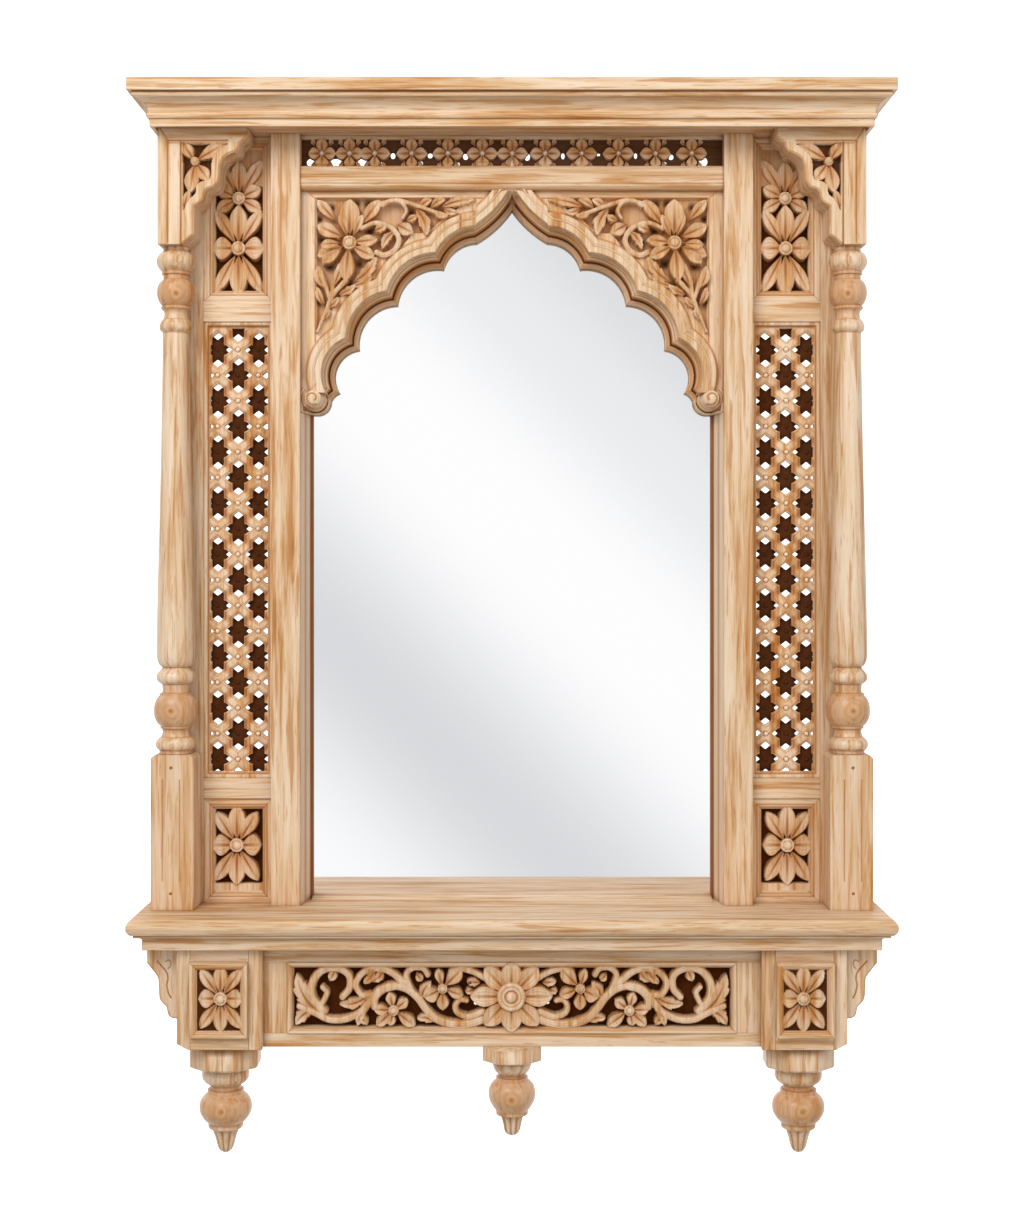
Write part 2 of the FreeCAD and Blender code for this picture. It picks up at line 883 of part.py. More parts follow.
def make_frieze():
    """Rail with its ovolo, and the pierced board of flowers above it."""
    low = rail_low()
    high = low + size["frieze_rail_height"]
    back = size["frieze_rail_back"]
    front = size["frieze_rail_forward"]
    seat = size["spandrel_forward"]
    nose = low - size["ovolo_height"]
    section = [
        (-back, low),
        (-back, high),
        (-front, high),
        (-front, low, size["ovolo_bow"]),
        (-size["ovolo_forward"], nose),
        (-seat, nose),
        (-seat, low),
    ]
    rail = new_body("frieze_rail_section")
    raised = pad(rail, "rail_profile", "YZ_Plane", 0, 2 * field, section)
    raised.Midplane = True
    keep("frieze_rail", cut("frieze_rail", rail, pieces["arch_crown"]))
    board = new_body("frieze_jali")
    jali_back = size["frieze_jali_forward"] - size["frieze_jali_thickness"]
    face = rectangle((-field, field), (high, soffit))
    pad(board, "jali_board", "XZ_Plane", jali_back, size["frieze_jali_thickness"], face)
    middle = high + size["frieze_height"] / 2
    pitch = 2 * field / FRIEZE_HOLES
    span = pitch * (FRIEZE_HOLES - 1)
    shape = (size["frieze_hole_half_width"], size["frieze_hole_half_height"], size["frieze_hole_waist"])
    outline = star(-(span / 2), middle, *shape)
    through = size["frieze_jali_forward"] + overrun
    pierced_row(board, "frieze_hole", through, outline, "H_Axis", span, FRIEZE_HOLES)
    keep("frieze_jali", board)


# Arch


def arch_place(shares):
    """A place in the arch, across from the centre line and up."""
    return field * shares[0], springing() + field * shares[1]


def foil_blank(radius):
    """Half section of a foil's wood, with the roll's outer slope."""
    back = -size["glass_forward"]
    seat = -size["spandrel_forward"]
    front = -size["arch_forward"]
    shoulder = front + size["arch_roll_height"]
    rim = radius + size["arch_width"]
    return [
        (back, 0),
        (back, radius + size["arch_seat"]),
        (seat, radius + size["arch_seat"]),
        (seat, rim),
        (shoulder, rim),
        (front, rim - size["arch_roll_width"]),
        (front, 0),
    ]


def moulded_edge(radius, sign):
    """Section of the moulding's face from the glass out to the roll's top.

    A sign of 1 is wood outside the circle and -1 is wood inside it.
    """
    front = -size["arch_forward"]
    top = size["arch_width"] - size["arch_roll_width"] - size["arch_roll_top"]
    return [
        (-size["arch_lip_forward"], radius),
        (front, radius + sign * top),
    ]


def foil_cutter(radius):
    """Half section of what is cut away to mould a foil's edge."""
    back = overrun - size["glass_forward"]
    ahead = -size["arch_forward"] - overrun
    face = moulded_edge(radius, 1)
    return [(back, 0), (back, radius), *face, (ahead, face[-1][1]), (ahead, 0)]


def crown_section(radius):
    """Section of the crown's moulding, whose wood lies inside its circle."""
    back = -size["glass_forward"]
    seat = -size["spandrel_forward"]
    front = -size["arch_forward"]
    rim = radius - size["arch_width"]
    return [
        (back, radius),
        *moulded_edge(radius, -1),
        (front, rim + size["arch_roll_width"]),
        (front + size["arch_roll_height"], rim),
        (seat, rim),
        (seat, radius - size["arch_seat"]),
        (back, radius - size["arch_seat"]),
    ]


def opening_outline(*tops):
    """Outline of the opening inside the cusps, from its tops down.

    Its edge goes round the scroll and past the arch's foot.
    """
    radius = size["scroll_radius"]
    across = field * SCROLL_ACROSS_SHARE
    low = springing()
    beyond = -(field * JOINT_TOP_SHARE)
    cusps = [arch_place(share) for share in CUSP_SHARES]
    last = cusps.pop()
    return [
        (beyond, tops[0][1]),
        *tops,
        *cusps,
        (*last, field * SCROLL_NOTCH_BOW_SHARE),
        (across - radius, low + radius, radius * QUARTER_BOW_SHARE),
        (across, low),
        (field + overrun, low),
        (field + overrun, low - field),
        (beyond, low - field),
    ]


def arch_side():
    """Right-hand run of four moulded foils with its scroll end."""
    body = new_body("arch_right")
    for number, shares in enumerate(FOIL_SHARES):
        across, up = arch_place(shares)
        blank = foil_blank(field * shares[2])
        name = f"foil_{number}"
        turned(body, "Revolution", name, "YZ_Plane", (across, (0, up)), "H_Axis", blank)
    block = [arch_place(share) for share in SCROLL_BLOCK_SHARES]
    back = size["glass_forward"]
    shoulder = size["arch_forward"] - size["arch_roll_height"]
    pad(body, "scroll_block", "XZ_Plane", back, shoulder - back, block)
    ahead = size["arch_forward"] + overrun
    joint_top = (field * JOINT_TOP_SHARE, rail_low())
    pocket(body, "opening", "XZ_Plane", 0, ahead, opening_outline(joint_top))
    for number, shares in enumerate(FOIL_SHARES):
        across, up = arch_place(shares)
        edge = foil_cutter(field * shares[2])
        name = f"edge_{number}"
        turned(body, "Groove", name, "YZ_Plane", (across, (0, up)), "H_Axis", edge)
    centre = (field * SCROLL_ACROSS_SHARE, springing() + size["scroll_radius"])
    height = size["volute_height"]
    round_pad(body, "volute", "XZ_Plane", shoulder, height, centre, size["volute_radius"])
    return body


def crown_half():
    """Right half of the crown, whose edge curves the other way to a tip."""
    body = new_body("crown_half")
    across, up = arch_place(CROWN_CENTRE_SHARES)
    ring = crown_section(field * CROWN_RADIUS_SHARE)
    turned(body, "Revolution", "crown_ring", "YZ_Plane", (across, (0, up)), "H_Axis", ring)
    joint_top = (field * JOINT_TOP_SHARE, rail_low())
    cusp = arch_place(CUSP_SHARES[0])
    low = [near - (far - near) * JOINT_FOOT_SHARE for near, far in zip(cusp, joint_top)]
    kept = [(0, low[1]), (low[0], low[1]), joint_top, (0, rail_low())]
    reach = field * (CROWN_CENTRE_SHARES[1] + CROWN_RADIUS_SHARE)
    outside = rectangle((-reach, reach), (low[1] - reach, low[1] + reach))
    pocket(body, "crown_ends", "XZ_Plane", 0, size["arch_forward"] + overrun, outside, kept)
    return body


def make_arch():
    """Crown in one piece and a moulded run at each side."""
    right = crown_half()
    left = mirrored("crown_left_half", right)
    keep("arch_crown", united("arch_crown", [right, left]))
    keep_pair("arch", arch_side())


# Carving


def leaf_outline(root, along, side, fullness, base):
    """Corners of a leaf at one height; fullness draws it in towards its middle."""
    right = []
    left = []
    for along_share, width_share in LEAF_SHARES:
        place = root + along * (0.5 + (along_share - 0.5) * fullness)
        place.y = -base
        right.append(place - side * (width_share * fullness))
        if width_share:
            left.append(place + side * (width_share * fullness))
    return right + left[::-1]


def flat_face(points):
    """The face inside a closed run of corners."""
    return Part.Face(Part.makePolygon(points + points[:1]))


def leaf(root, tip, width, base, height):
    """A carved leaf or petal with sloping sides."""
    start = FreeCAD.Vector(root[0], 0, root[1])
    along = FreeCAD.Vector(tip[0], 0, tip[1]) - start
    side = FreeCAD.Vector(-along.z, 0, along.x).normalize() * width
    low = leaf_outline(start, along, side, 1.0, base)
    high = leaf_outline(start, along, side, LEAF_CREST_SHARE, base + height)
    faces = [flat_face(low), flat_face(high)]
    for number, corner in enumerate(low):
        following = (number + 1) % len(low)
        faces.append(flat_face([corner, low[following], high[following], high[number]]))
    return Part.Solid(Part.makeShell(faces))


def flower(centre, reach, petal_shares, base, height):
    """Petals round a boss; the shares give each petal's tip and width."""
    carved = []
    for across, up, width in petal_shares:
        tip = (centre[0] + across * reach, centre[1] + up * reach)
        carved.append(leaf(centre, tip, width * reach, base, height))
    carved.append(boss(centre, reach * BOSS_SHARE, base, height))
    return carved


def boss(centre, radius, base, height):
    """The eight-sided boss in the middle of a flower."""
    points = []
    for corner in range(OCTAGON_SIDES):
        turn = 2 * math.pi * corner / OCTAGON_SIDES
        across = centre[0] + radius * math.cos(turn)
        points.append(FreeCAD.Vector(across, -base, centre[1] + radius * math.sin(turn)))
    return flat_face(points).extrude(FreeCAD.Vector(0, -height, 0))


def carving(name, solids):
    """Joins carved leaves into one shape of the document."""
    piece = doc.addObject("Part::Feature", name)
    piece.Shape = solids[0].multiFuse(solids[1:])
    return piece


def even_petals(count, width_share):
    """Shares of a flower whose petals are spread evenly, one of them upright."""
    turns = [2 * math.pi * number / count for number in range(count)]
    return [(math.sin(turn), math.cos(turn), width_share) for turn in turns]


def framed_board(name, across, up, forward, borders):
    """A board with a raised frame; borders are side, foot and head."""
    back, ground, front = forward
    side, foot, head = borders
    body = new_body(name)
    outer = rectangle(across, up)
    inner = rectangle((across[0] + side, across[1] - side), (up[0] + foot, up[1] - head))
    pad(body, f"{name}_ground", "XZ_Plane", back, ground - back, outer)
    pad(body, f"{name}_frame", "XZ_Plane", ground, front - ground, outer, inner)
    return body


def middle_of(across):
    """The middle of a span, as a plain number."""
    return (as_size(across[0]).value + as_size(across[1]).value) / 2


def make_bay_panels():
    """Carved panels above and below each jali, for the right-hand bay."""
    across = (bay_inner, bay_outer)
    ground = bay_back + size["panel_ground"]
    forward = (bay_back, ground, size["panel_frame_forward"])
    side = size["panel_border"]
    high = (upper_rail_low() + size["rail_height"], soffit)
    low = (shelf_top, lower_rail_low())
    relief = size["relief_height"].value
    centre = middle_of(across)
    upper = framed_board("upper_ground", across, high, forward, (side, side, side))
    upper_open = (high[1] - high[0] - 2 * side).value
    foot = high[0].value + side.value
    petals = []
    for place_share, reach_share, shares in UPPER_FLOWERS:
        middle = (centre, foot + upper_open * place_share)
        petals += flower(middle, upper_open * reach_share, shares, ground.value, relief)
    carved = carving("upper_flowers", petals)
    keep_pair("upper_panel", united("upper_panel_right", [upper, carved]))
    foot_border = side + size["panel_foot"]
    lower = framed_board("lower_ground", across, low, forward, (side, foot_border, side))
    lower_open = low[1] - low[0] - foot_border - side
    middle = (centre, (low[0] + foot_border + lower_open / 2).value)
    reach = lower_open.value / 2 * PANEL_FLOWER_SHARE
    carved = carving("lower_flower", flower(middle, reach, ROUND_FLOWER_SHARES, ground.value, relief))
    keep_pair("lower_panel", united("lower_panel_right", [lower, carved]))


def make_jali():
    """Right-hand pierced screen: three columns of four-armed stars."""
    across = (bay_inner, bay_outer)
    up = (jali_low(), upper_rail_low())
    border = size["jali_border"]
    body = new_body("jali_right")
    outer = rectangle(across, up)
    inner = rectangle((across[0] + border, across[1] - border), (up[0] + border, up[1] - border))
    back = size["jali_forward"] - size["jali_thickness"]
    front = size["panel_frame_forward"]
    pad(body, "jali_frame", "XZ_Plane", bay_back, front - bay_back, outer, inner)
    pad(body, "jali_board", "XZ_Plane", back, size["jali_thickness"], outer)
    centre = (across[0] + across[1]) / 2
    middle = (up[0] + up[1]) / 2
    pitch = (up[1] - up[0]) * JALI_PITCH_SHARE
    step = size["jali_column_step"]
    shape = (size["star_half_width"], size["star_half_height"], size["star_waist"])
    through = front + overrun
    for number, (offset, count) in enumerate(
        ((-step, JALI_SIDE_STARS), (0, JALI_CENTRE_STARS), (step, JALI_SIDE_STARS))
    ):
        span = pitch * (count - 1)
        outline = star(centre + offset, middle - span / 2, *shape)
        pierced_row(body, f"star_{number}", through, outline, "V_Axis", span, count)
    keep_pair("jali", body)


def make_spandrels():
    """Right-hand spandrel board, carved and cut to seat the arch."""
    body = new_body("spandrel_ground")
    low = springing() + field * SPANDREL_FOOT_SHARE
    back = size["spandrel_forward"] - size["board_thickness"]
    face = rectangle((0, field), (low, rail_low()))
    pad(body, "spandrel_board", "XZ_Plane", back, size["board_thickness"], face)
    ahead = size["spandrel_forward"] + overrun
    seat_top, seat_foot = (arch_place(share) for share in CROWN_SEAT_SHARES)
    tops = ((*seat_top, field * CROWN_SEAT_BOW_SHARE), seat_foot)
    pocket(body, "spandrel_opening", "XZ_Plane", 0, ahead, opening_outline(*tops))
    for number, shares in enumerate(FOIL_SHARES):
        seat = field * shares[2] + size["arch_seat"]
        round_pocket(body, f"seat_{number}", "XZ_Plane", 0, ahead, arch_place(shares), seat)
    board = united("carved_spandrel", [body, carving("spandrel_leaves", spandrel_leaves())])
    side_cut = cut("spandrel_side_cut", board, pieces["arch_right"])
    keep_pair("spandrel", cut("spandrel_right", side_cut, pieces["arch_crown"]))


def spandrel_leaves():
    """Leaves and flower of the right-hand spandrel, standing on its board."""
    base = size["spandrel_forward"].value
    height = size["relief_height"].value
    leaves = []
    for root_x, root_z, tip_x, tip_z, width in SPANDREL_LEAF_SHARES:
        root = [length.value for length in arch_place((root_x, root_z))]
        tip = [length.value for length in arch_place((tip_x, tip_z))]
        leaves.append(leaf(root, tip, width * field.value, base, height))
    centre = [length.value for length in arch_place(SPANDREL_LEAF_SHARES[0])]
    leaves.append(boss(centre, SPANDREL_BOSS_SHARE * field.value, base, height))
    return leaves


# Columns and capitals


def column_outline():
    """Half section of the turned column, on its axis."""
    low = shelf_top + size["plinth_height"]
    tall = soffit - size["capital_height"] - low
    outline = [(0, low)]
    for radius, height, *bow in COLUMN_SHARES:
        corner = (size["column_ball_radius"] * radius, low + tall * height)
        outline.append((*corner, *[size["column_ball_radius"] * share for share in bow]))
    outline.append((0, low + tall))
    return outline


def column():
    """Right-hand column: a square chamfered foot and a turned shaft."""
    body = new_body("column_right")
    half = size["plinth_side"] / 2
    forward = size["outer_stile_forward"] + half
    low = shelf_top
    high = shelf_top + size["plinth_height"] - size["plinth_chamfer"]
    x = size["column_x"]
    foot = rectangle((x - half, x + half), (-forward - half, -forward + half))
    pad(body, "plinth", "XY_Plane", low, high - low, foot)
    sketch = sketch_on(body, "plinth_top", "XY_Plane", high)
    add_outline(sketch, foot)
    crown = sketch_on(body, "plinth_crown", "XY_Plane", high + size["plinth_chamfer"])
    inner = half - size["plinth_chamfer"]
    add_outline(crown, rectangle((x - inner, x + inner), (-forward - inner, -forward + inner)))
    top = feature(body, "AdditiveLoft", sketch)
    top.Sections = [crown]
    turned(body, "Revolution", "shaft", "XZ_Plane", (forward, (x, 0)), "V_Axis", column_outline())
    return body


def capital():
    """Right-hand capital: a post with a scalloped, carved bracket."""
    body = new_body("capital_right")
    low = soffit - size["capital_height"]
    outer = size["capital_outer_x"]
    post = outer - size["capital_post_width"]
    reach = size["capital_reach"]
    outline = [(outer, low), (outer, soffit), (outer - reach, soffit)]
    for reach_share, height_share, *bow in CAPITAL_SHARES[::-1]:
        corner = (post - reach * reach_share, low + size["capital_height"] * height_share)
        outline.append((*corner, *[reach * share for share in bow]))
    outline.append((post, low))
    back = size["outer_stile_forward"]
    pad(body, "bracket", "XZ_Plane", back, size["capital_thickness"], outline)
    recess = []
    for reach_share, height_share in CAPITAL_RECESS_SHARES:
        recess.append((post - reach * reach_share, low + size["capital_height"] * height_share))
    front = back + size["capital_thickness"]
    depth = size["capital_recess_depth"]
    pocket(body, "recess", "XZ_Plane", front - depth, depth + overrun, recess)
    base = (front - depth).value
    height = size["capital_relief"].value
    centre = ((post - reach * CAPITAL_FLOWER_SHARES[0]).value,)
    centre += ((low + size["capital_height"] * CAPITAL_FLOWER_SHARES[1]).value,)
    petals = flower(centre, (reach * CAPITAL_FLOWER_SHARES[2]).value, CAPITAL_PETAL_SHARES, base, height)
    return united("capital_right", [body, carving("capital_flower", petals)])


# Shelf


def shelf_section(sign):
    """Section of the moulding under the shelf, as the cornice's is given."""
    top = -shelf_top
    bead = top - size["shelf_bead_height"]
    low = top - size["shelf_moulding_height"]
    bow = size["shelf_bead_bow"]
    edge = size["shelf_moulding_inset"] + bow
    fascia = edge + size["shelf_cove_run"]
    inner = fascia + size["shelf_moulding_thickness"]
    return inner, low, [
        (edge, top, bow * -sign),
        (edge, bead, size["shelf_cove_bow"] * sign),
        (fascia, bead - size["shelf_cove_height"]),
        (fascia, low),
        (inner, low),
        (inner, top),
    ]


def make_shelf():
    """Shelf board with a rounded edge on three sides, and its moulding."""
    half = size["shelf_half_width"]
    depth = size["shelf_depth"]
    bow = size["shelf_nose_bow"]
    low = -shelf_top
    nose = depth - bow
    front = new_body("shelf_front_edge")
    section = [(-nose, low), (0, low), (0, shelf_top), (-nose, shelf_top, bow)]
    raised = pad(front, "shelf_section", "YZ_Plane", 0, 2 * half, section)
    raised.Midplane = True
    ends = new_body("shelf_end_edges")
    end = half - bow
    outline = [(-end, low), (end, low, bow), (end, shelf_top), (-end, shelf_top, bow)]
    pad(ends, "shelf_outline", "XZ_Plane", 0, depth, outline)
    board = doc.addObject("Part::MultiCommon", "shelf_board")
    board.Shapes = [front, ends]
    keep("shelf_board", board)
    inner, _, section = shelf_section(-1)
    moulding = moulding_front("shelf_moulding_front", half, depth, inner, section)
    keep("shelf_moulding_front", moulding)
    side = shelf_section(1)[2]
    keep_pair("shelf_moulding", moulding_return("shelf_moulding_side", half, depth, inner, side))


# Corner blocks and corbels


def block_middle():
    """Middle of the right-hand corner block, which stands a gap inside the shelf's moulding."""
    inner = size["shelf_half_width"] - shelf_section(1)[0]
    return inner - size["block_end_gap"] - size["block_width"] / 2


def corner_block(across, up, inner):
    """Right-hand corner block, notched behind the shelf's moulding."""
    body = new_body("corner_block_right")
    back = size["block_forward"] - size["block_depth"]
    outline = [
        (across[0], up[0]),
        (across[1] - size["ear_width"], up[0]),
        (across[1], up[0] + size["ear_drop"]),
        (across[1], up[1]),
        (across[0], up[1]),
    ]
    pad(body, "block_front", "XZ_Plane", back, size["block_depth"], outline)
    tongue = rectangle(across, (up[1], -shelf_top))
    pad(body, "block_tongue", "XZ_Plane", back, size["shelf_depth"] - inner - back, tongue)
    return body


def corbel(across, top):
    """Right-hand stepped corbel, flat against the corner block."""
    body = new_body("corbel_right")
    reach = size["corbel_reach"]
    drop = size["corbel_drop"]
    outline = [(across, top), (across, top - drop)]
    for reach_share, drop_share, *bow in CORBEL_SHARES:
        corner = (across + reach * reach_share, top - drop * drop_share)
        outline.append((*corner, *[reach * share for share in bow]))
    outline.append((across + reach, top))
    front = size["apron_forward"]
    pad(body, "corbel_outline", "XZ_Plane", front - size["board_thickness"], size["board_thickness"], outline)
    return body


def make_blocks():
    """Corner blocks with their carved panels, and the corbels beside them."""
    inner, top, _ = shelf_section(1)
    half = size["block_width"] / 2
    middle = block_middle()
    across = (middle - half, middle + half)
    low = top - size["block_drop"]
    keep_pair("corner_block", corner_block(across, (low, top), inner))
    keep_pair("corbel", corbel(across[1], top))
    wide = size["block_panel_width"] / 2
    tall = size["block_panel_height"] / 2
    centre = (middle, (top + low) / 2)
    back = size["block_forward"]
    forward = (back, back + size["block_panel_ground"], size["block_panel_forward"])
    border = size["block_panel_border"]
    spans = [(place - span, place + span) for place, span in zip(centre, (wide, tall))]
    panel = framed_board("block_panel_board", *spans, forward, (border, border, border))
    reach = (tall - border).value * PANEL_FLOWER_SHARE
    place = [length.value for length in centre]
    petals = flower(place, reach, ROUND_FLOWER_SHARES, forward[1].value, size["block_relief"].value)
    keep_pair("block_panel", united("block_panel_right", [panel, carving("block_flower", petals)]))


# Apron


def apron_leaves(centre_height, half_width, ground):
    """Scrolling stem, leaves and small flowers on both sides of the rosette."""
    height = size["apron_relief"].value
    solids = []
    for sign in (1, -1):
        for root_x, root_z, tip_x, tip_z, width in APRON_LEAF_SHARES:
            root = (sign * root_x * half_width, centre_height + root_z * half_width)
            tip = (sign * tip_x * half_width, centre_height + tip_z * half_width)
            solids.append(leaf(root, tip, width * half_width, ground, height))
        for across, up in APRON_FLOWER_SHARES:
            centre = (sign * across * half_width, centre_height + up * half_width)
            petals = even_petals(SMALL_PETAL_COUNT, SMALL_PETAL_SHARE)
            solids += flower(centre, SMALL_FLOWER_SHARE * half_width, petals, ground, height)
    return solids


def make_apron():
    """Framed apron between the corner blocks with its carved panel."""
    half = block_middle() - size["block_width"] / 2
    front = size["apron_forward"]
    back = front - size["board_thickness"]
    top = -shelf_top
    foot = shelf_section(1)[1] - size["block_drop"]
    high = top - size["apron_top_rail"]
    low = foot + size["apron_bottom_rail"]
    inner = half - size["apron_stile_width"]
    keep("apron_top_rail", box("apron_top_rail", (-half, half), (back, front), (high, top)))
    keep("apron_bottom_rail", box("apron_bottom_rail", (-half, half), (back, front), (foot, low)))
    keep_pair("apron_stile", box("apron_stile_right", (inner, half), (back, front), (low, high)))
    border = size["apron_panel_border"]
    forward = (back, back + size["apron_ground"], back + size["apron_frame"])
    borders = (border, border, border)
    panel = framed_board("apron_board", (-inner, inner), (low, high), forward, borders)
    ground = forward[1].value
    raised = forward[2].value - ground
    middle = (0, ((low + high) / 2).value)
    reach = size["rosette_reach"].value
    solids = [boss(middle, reach * ROSETTE_HUB_SHARE, ground, raised)]
    solids += flower(middle, reach, ROSETTE_SHARES, forward[2].value, size["block_relief"].value)
    solids += apron_leaves(middle[1], (inner - border).value, ground)
    keep("apron_panel", united("apron_panel", [panel, carving("apron_carving", solids)]))


# Turned drops


def finial(name, stem, across):
    """Turned drop under an eight-sided cap; stem is how its sizes are named."""
    body = new_body(name)
    cap = size[f"{stem}_cap_height"]
    tall = size[f"{stem}_height"] - cap
    ball = size[f"{stem}_ball_radius"]
    forward = size[f"{stem}_forward"]
    tip = shelf_section(1)[1] - size["block_drop"] - size[f"{stem}_height"]
    section = [(0, tip)]
    for radius, height, *bow in FINIAL_SHARES:
        corner = (ball * radius, tip + tall * height)
        section.append((*corner, *[ball * share for share in bow]))
    section.append((0, tip + tall))
    place = (forward, (across, 0))
    turned(body, "Revolution", f"{name}_turning", "XZ_Plane", place, "V_Axis", section)
    corners = []
    for corner in range(OCTAGON_SIDES):
        turn = 2 * math.pi * corner / OCTAGON_SIDES
        reach = size[f"{stem}_cap_radius"]
        ahead = reach * round(math.sin(turn), 6) - forward
        corners.append((across + reach * round(math.cos(turn), 6), ahead))
    pad(body, f"{name}_cap", "XY_Plane", tip + tall, cap, corners)
    return body


def make_finials():
    """Three drops: one under each corner block and one under the apron."""
    right = finial("finial_right", "finial", block_middle())
    centre = finial("finial_centre", "centre_finial", 0)
    drops = [right, mirrored("finial_left", right), centre]
    keep("finials", united("finials", drops))


# Hangers


def strap(across, up, axis):
    """Right-hand strap plate with the loop that the ring's bar turns in."""
    body = new_body("hanger_right")
    half = size["strap_width"] / 2
    thick = size["strap_thickness"]
    face = size["back_inset"] - thick
    plate = rectangle((across - half, across + half), (up - size["strap_length"], up))
    pad(body, "strap_plate", "XZ_Plane", face, thick, plate)
    bore = size["strap_loop_bore"]
    start = across - half
    centre = (-axis, up)
    round_pad(body, "strap_loop", "YZ_Plane", start, size["strap_width"], centre, bore + thick)
    through = size["strap_width"] + 2 * overrun
    round_pocket(body, "strap_bore", "YZ_Plane", start - overrun, through, centre, bore)
    place = (across, up - size["screw_drop"])
    hole = size["screw_shank_radius"]
    round_pocket(body, "strap_hole", "XZ_Plane", face - overrun, thick + 2 * overrun, place, hole)
    return body


def swing_ring(across, up, axis):
    """Right-hand ring: a round bar between the legs of a flat bow."""
    body = new_body("ring_right")
    wire = size["ring_wire"]
    wide = size["ring_width"] / 2
    inner = wide - wire
    drop = size["ring_drop"] / 2
    bend = up - drop
    top = up + wire / 2
    outline = [
        (across - wide, top),
        (across - wide, bend, drop),
        (across + wide, bend),
        (across + wide, top),
        (across + inner, top),
        (across + inner, bend, wire - drop),
        (across - inner, bend),
        (across - inner, top),
    ]
    pad(body, "ring_bow", "XZ_Plane", axis - wire / 2, wire, outline)
    start = across - inner
    round_pad(body, "ring_bar", "YZ_Plane", start, 2 * inner, (-axis, up), size["ring_bar_radius"])
    return body


def screw(across, up):
    """Right-hand screw, through the strap into the stile."""
    body = new_body("screw_right")
    seat = size["strap_thickness"] - size["back_inset"]
    back = seat + size["screw_head_height"]
    shank = size["screw_shank_radius"]
    tip = seat - size["screw_length"]
    section = [
        (0, tip),
        (shank, tip),
        (shank, seat),
        (size["screw_head_radius"], seat),
        (size["screw_head_flat"], back),
        (0, back),
    ]
    turned(body, "Revolution", "screw_turning", "XY_Plane", (up, (across, 0)), "V_Axis", section)
    return body


def make_hangers():
    """Strap plates with swinging rings, screwed to the inner stiles' backs."""
    across = size["hanger_x"]
    up = hanger_up()
    axis = size["back_inset"] - size["strap_thickness"] - size["strap_loop_bore"]
    keep_pair("hanger", strap(across, up, axis))
    keep_pair("ring", swing_ring(across, up, axis))
    right = screw(across, up - size["screw_drop"])
    keep("hanger_screws", united("hanger_screws", [right, mirrored("screw_left", right)]))


def check_and_save():
    """Stops at a broken object, and writes each piece as its own file."""
    broken = [thing.Name for thing in doc.Objects if set(thing.State) - ALLOWED_STATES]
    if broken:
        raise RuntimeError(f"Not computed: {broken}")
    for name, piece in pieces.items():
        if piece.Shape.isNull() or not piece.Shape.isValid():
            raise RuntimeError(f"{name} has no sound shape")
        piece.Shape.exportStep(f"parts/{name}.step")


make_cornice()
make_carcass()
make_mirror()
make_arch()
make_frieze()
make_spandrels()
make_bay_panels()
make_jali()
keep_pair("column", column())
keep_pair("capital", capital())
make_shelf()
make_blocks()
make_apron()
make_finials()
make_hangers()
doc.recompute()
os.makedirs("parts", exist_ok=True)
check_and_save()
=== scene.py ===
import math

import bmesh
import bpy
import numpy as np
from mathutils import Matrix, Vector


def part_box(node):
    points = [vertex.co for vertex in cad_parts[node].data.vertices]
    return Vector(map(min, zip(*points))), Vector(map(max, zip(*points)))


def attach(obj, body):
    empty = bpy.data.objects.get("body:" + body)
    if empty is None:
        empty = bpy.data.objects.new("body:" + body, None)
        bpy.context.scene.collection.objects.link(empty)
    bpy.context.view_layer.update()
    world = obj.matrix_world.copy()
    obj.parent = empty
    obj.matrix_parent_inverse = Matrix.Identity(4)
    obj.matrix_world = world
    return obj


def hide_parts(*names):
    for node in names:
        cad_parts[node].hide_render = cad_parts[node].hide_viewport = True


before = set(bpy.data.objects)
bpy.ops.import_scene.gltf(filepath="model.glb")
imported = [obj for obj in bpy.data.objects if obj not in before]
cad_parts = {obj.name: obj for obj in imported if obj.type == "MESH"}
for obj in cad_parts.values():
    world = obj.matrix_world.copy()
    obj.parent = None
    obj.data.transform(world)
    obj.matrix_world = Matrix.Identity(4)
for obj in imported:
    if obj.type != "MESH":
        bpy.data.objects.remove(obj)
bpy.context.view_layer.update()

MM = 0.001
SHELF_NOSE = 180.0
SIDES = (("_left", False), ("_right", True))
MIRROR = {False: np.array([1.0, 1.0, 1.0]), True: np.array([-1.0, 1.0, 1.0])}

# How the photograph sees the mirror: pixels to millimetres at a depth behind
# the shelf's nose, about the point that the camera looks at.
PIXEL_MM = 1.1126
VIEW_DISTANCE = 2100.0
VANISHING_X = 512.0
VANISHING_Y = 570.0
EYE_HEIGHT = 399.3
CAMERA_BACK = SHELF_NOSE + VIEW_DISTANCE


# Materials

def linear(red, green, blue):
    """A colour given as 0 to 255 screen values, as the shader wants it."""
    shares = [value / 255 for value in (red, green, blue)]
    return tuple(share ** 2.2 for share in shares) + (1.0,)


CREAM = linear(218, 186, 150)
WASHED = linear(227, 203, 175)
STRAW = linear(201, 158, 113)
STREAK = linear(184, 128, 74)
UMBER = linear(162, 104, 54)
# Below: brown for stain and for painted shade, darker brown for painted shade in creases, grooves and
# hollows, and near-black for painted shade on sunk grounds and behind the piercings.
EDGE_STAIN_AND_SHADE = linear(186, 122, 64)
CREASE_SHADE = linear(138, 80, 36)
PIT_SHADE = linear(74, 38, 10)
PALE = linear(244, 230, 208)
KNOT_HEART = linear(48, 24, 14)


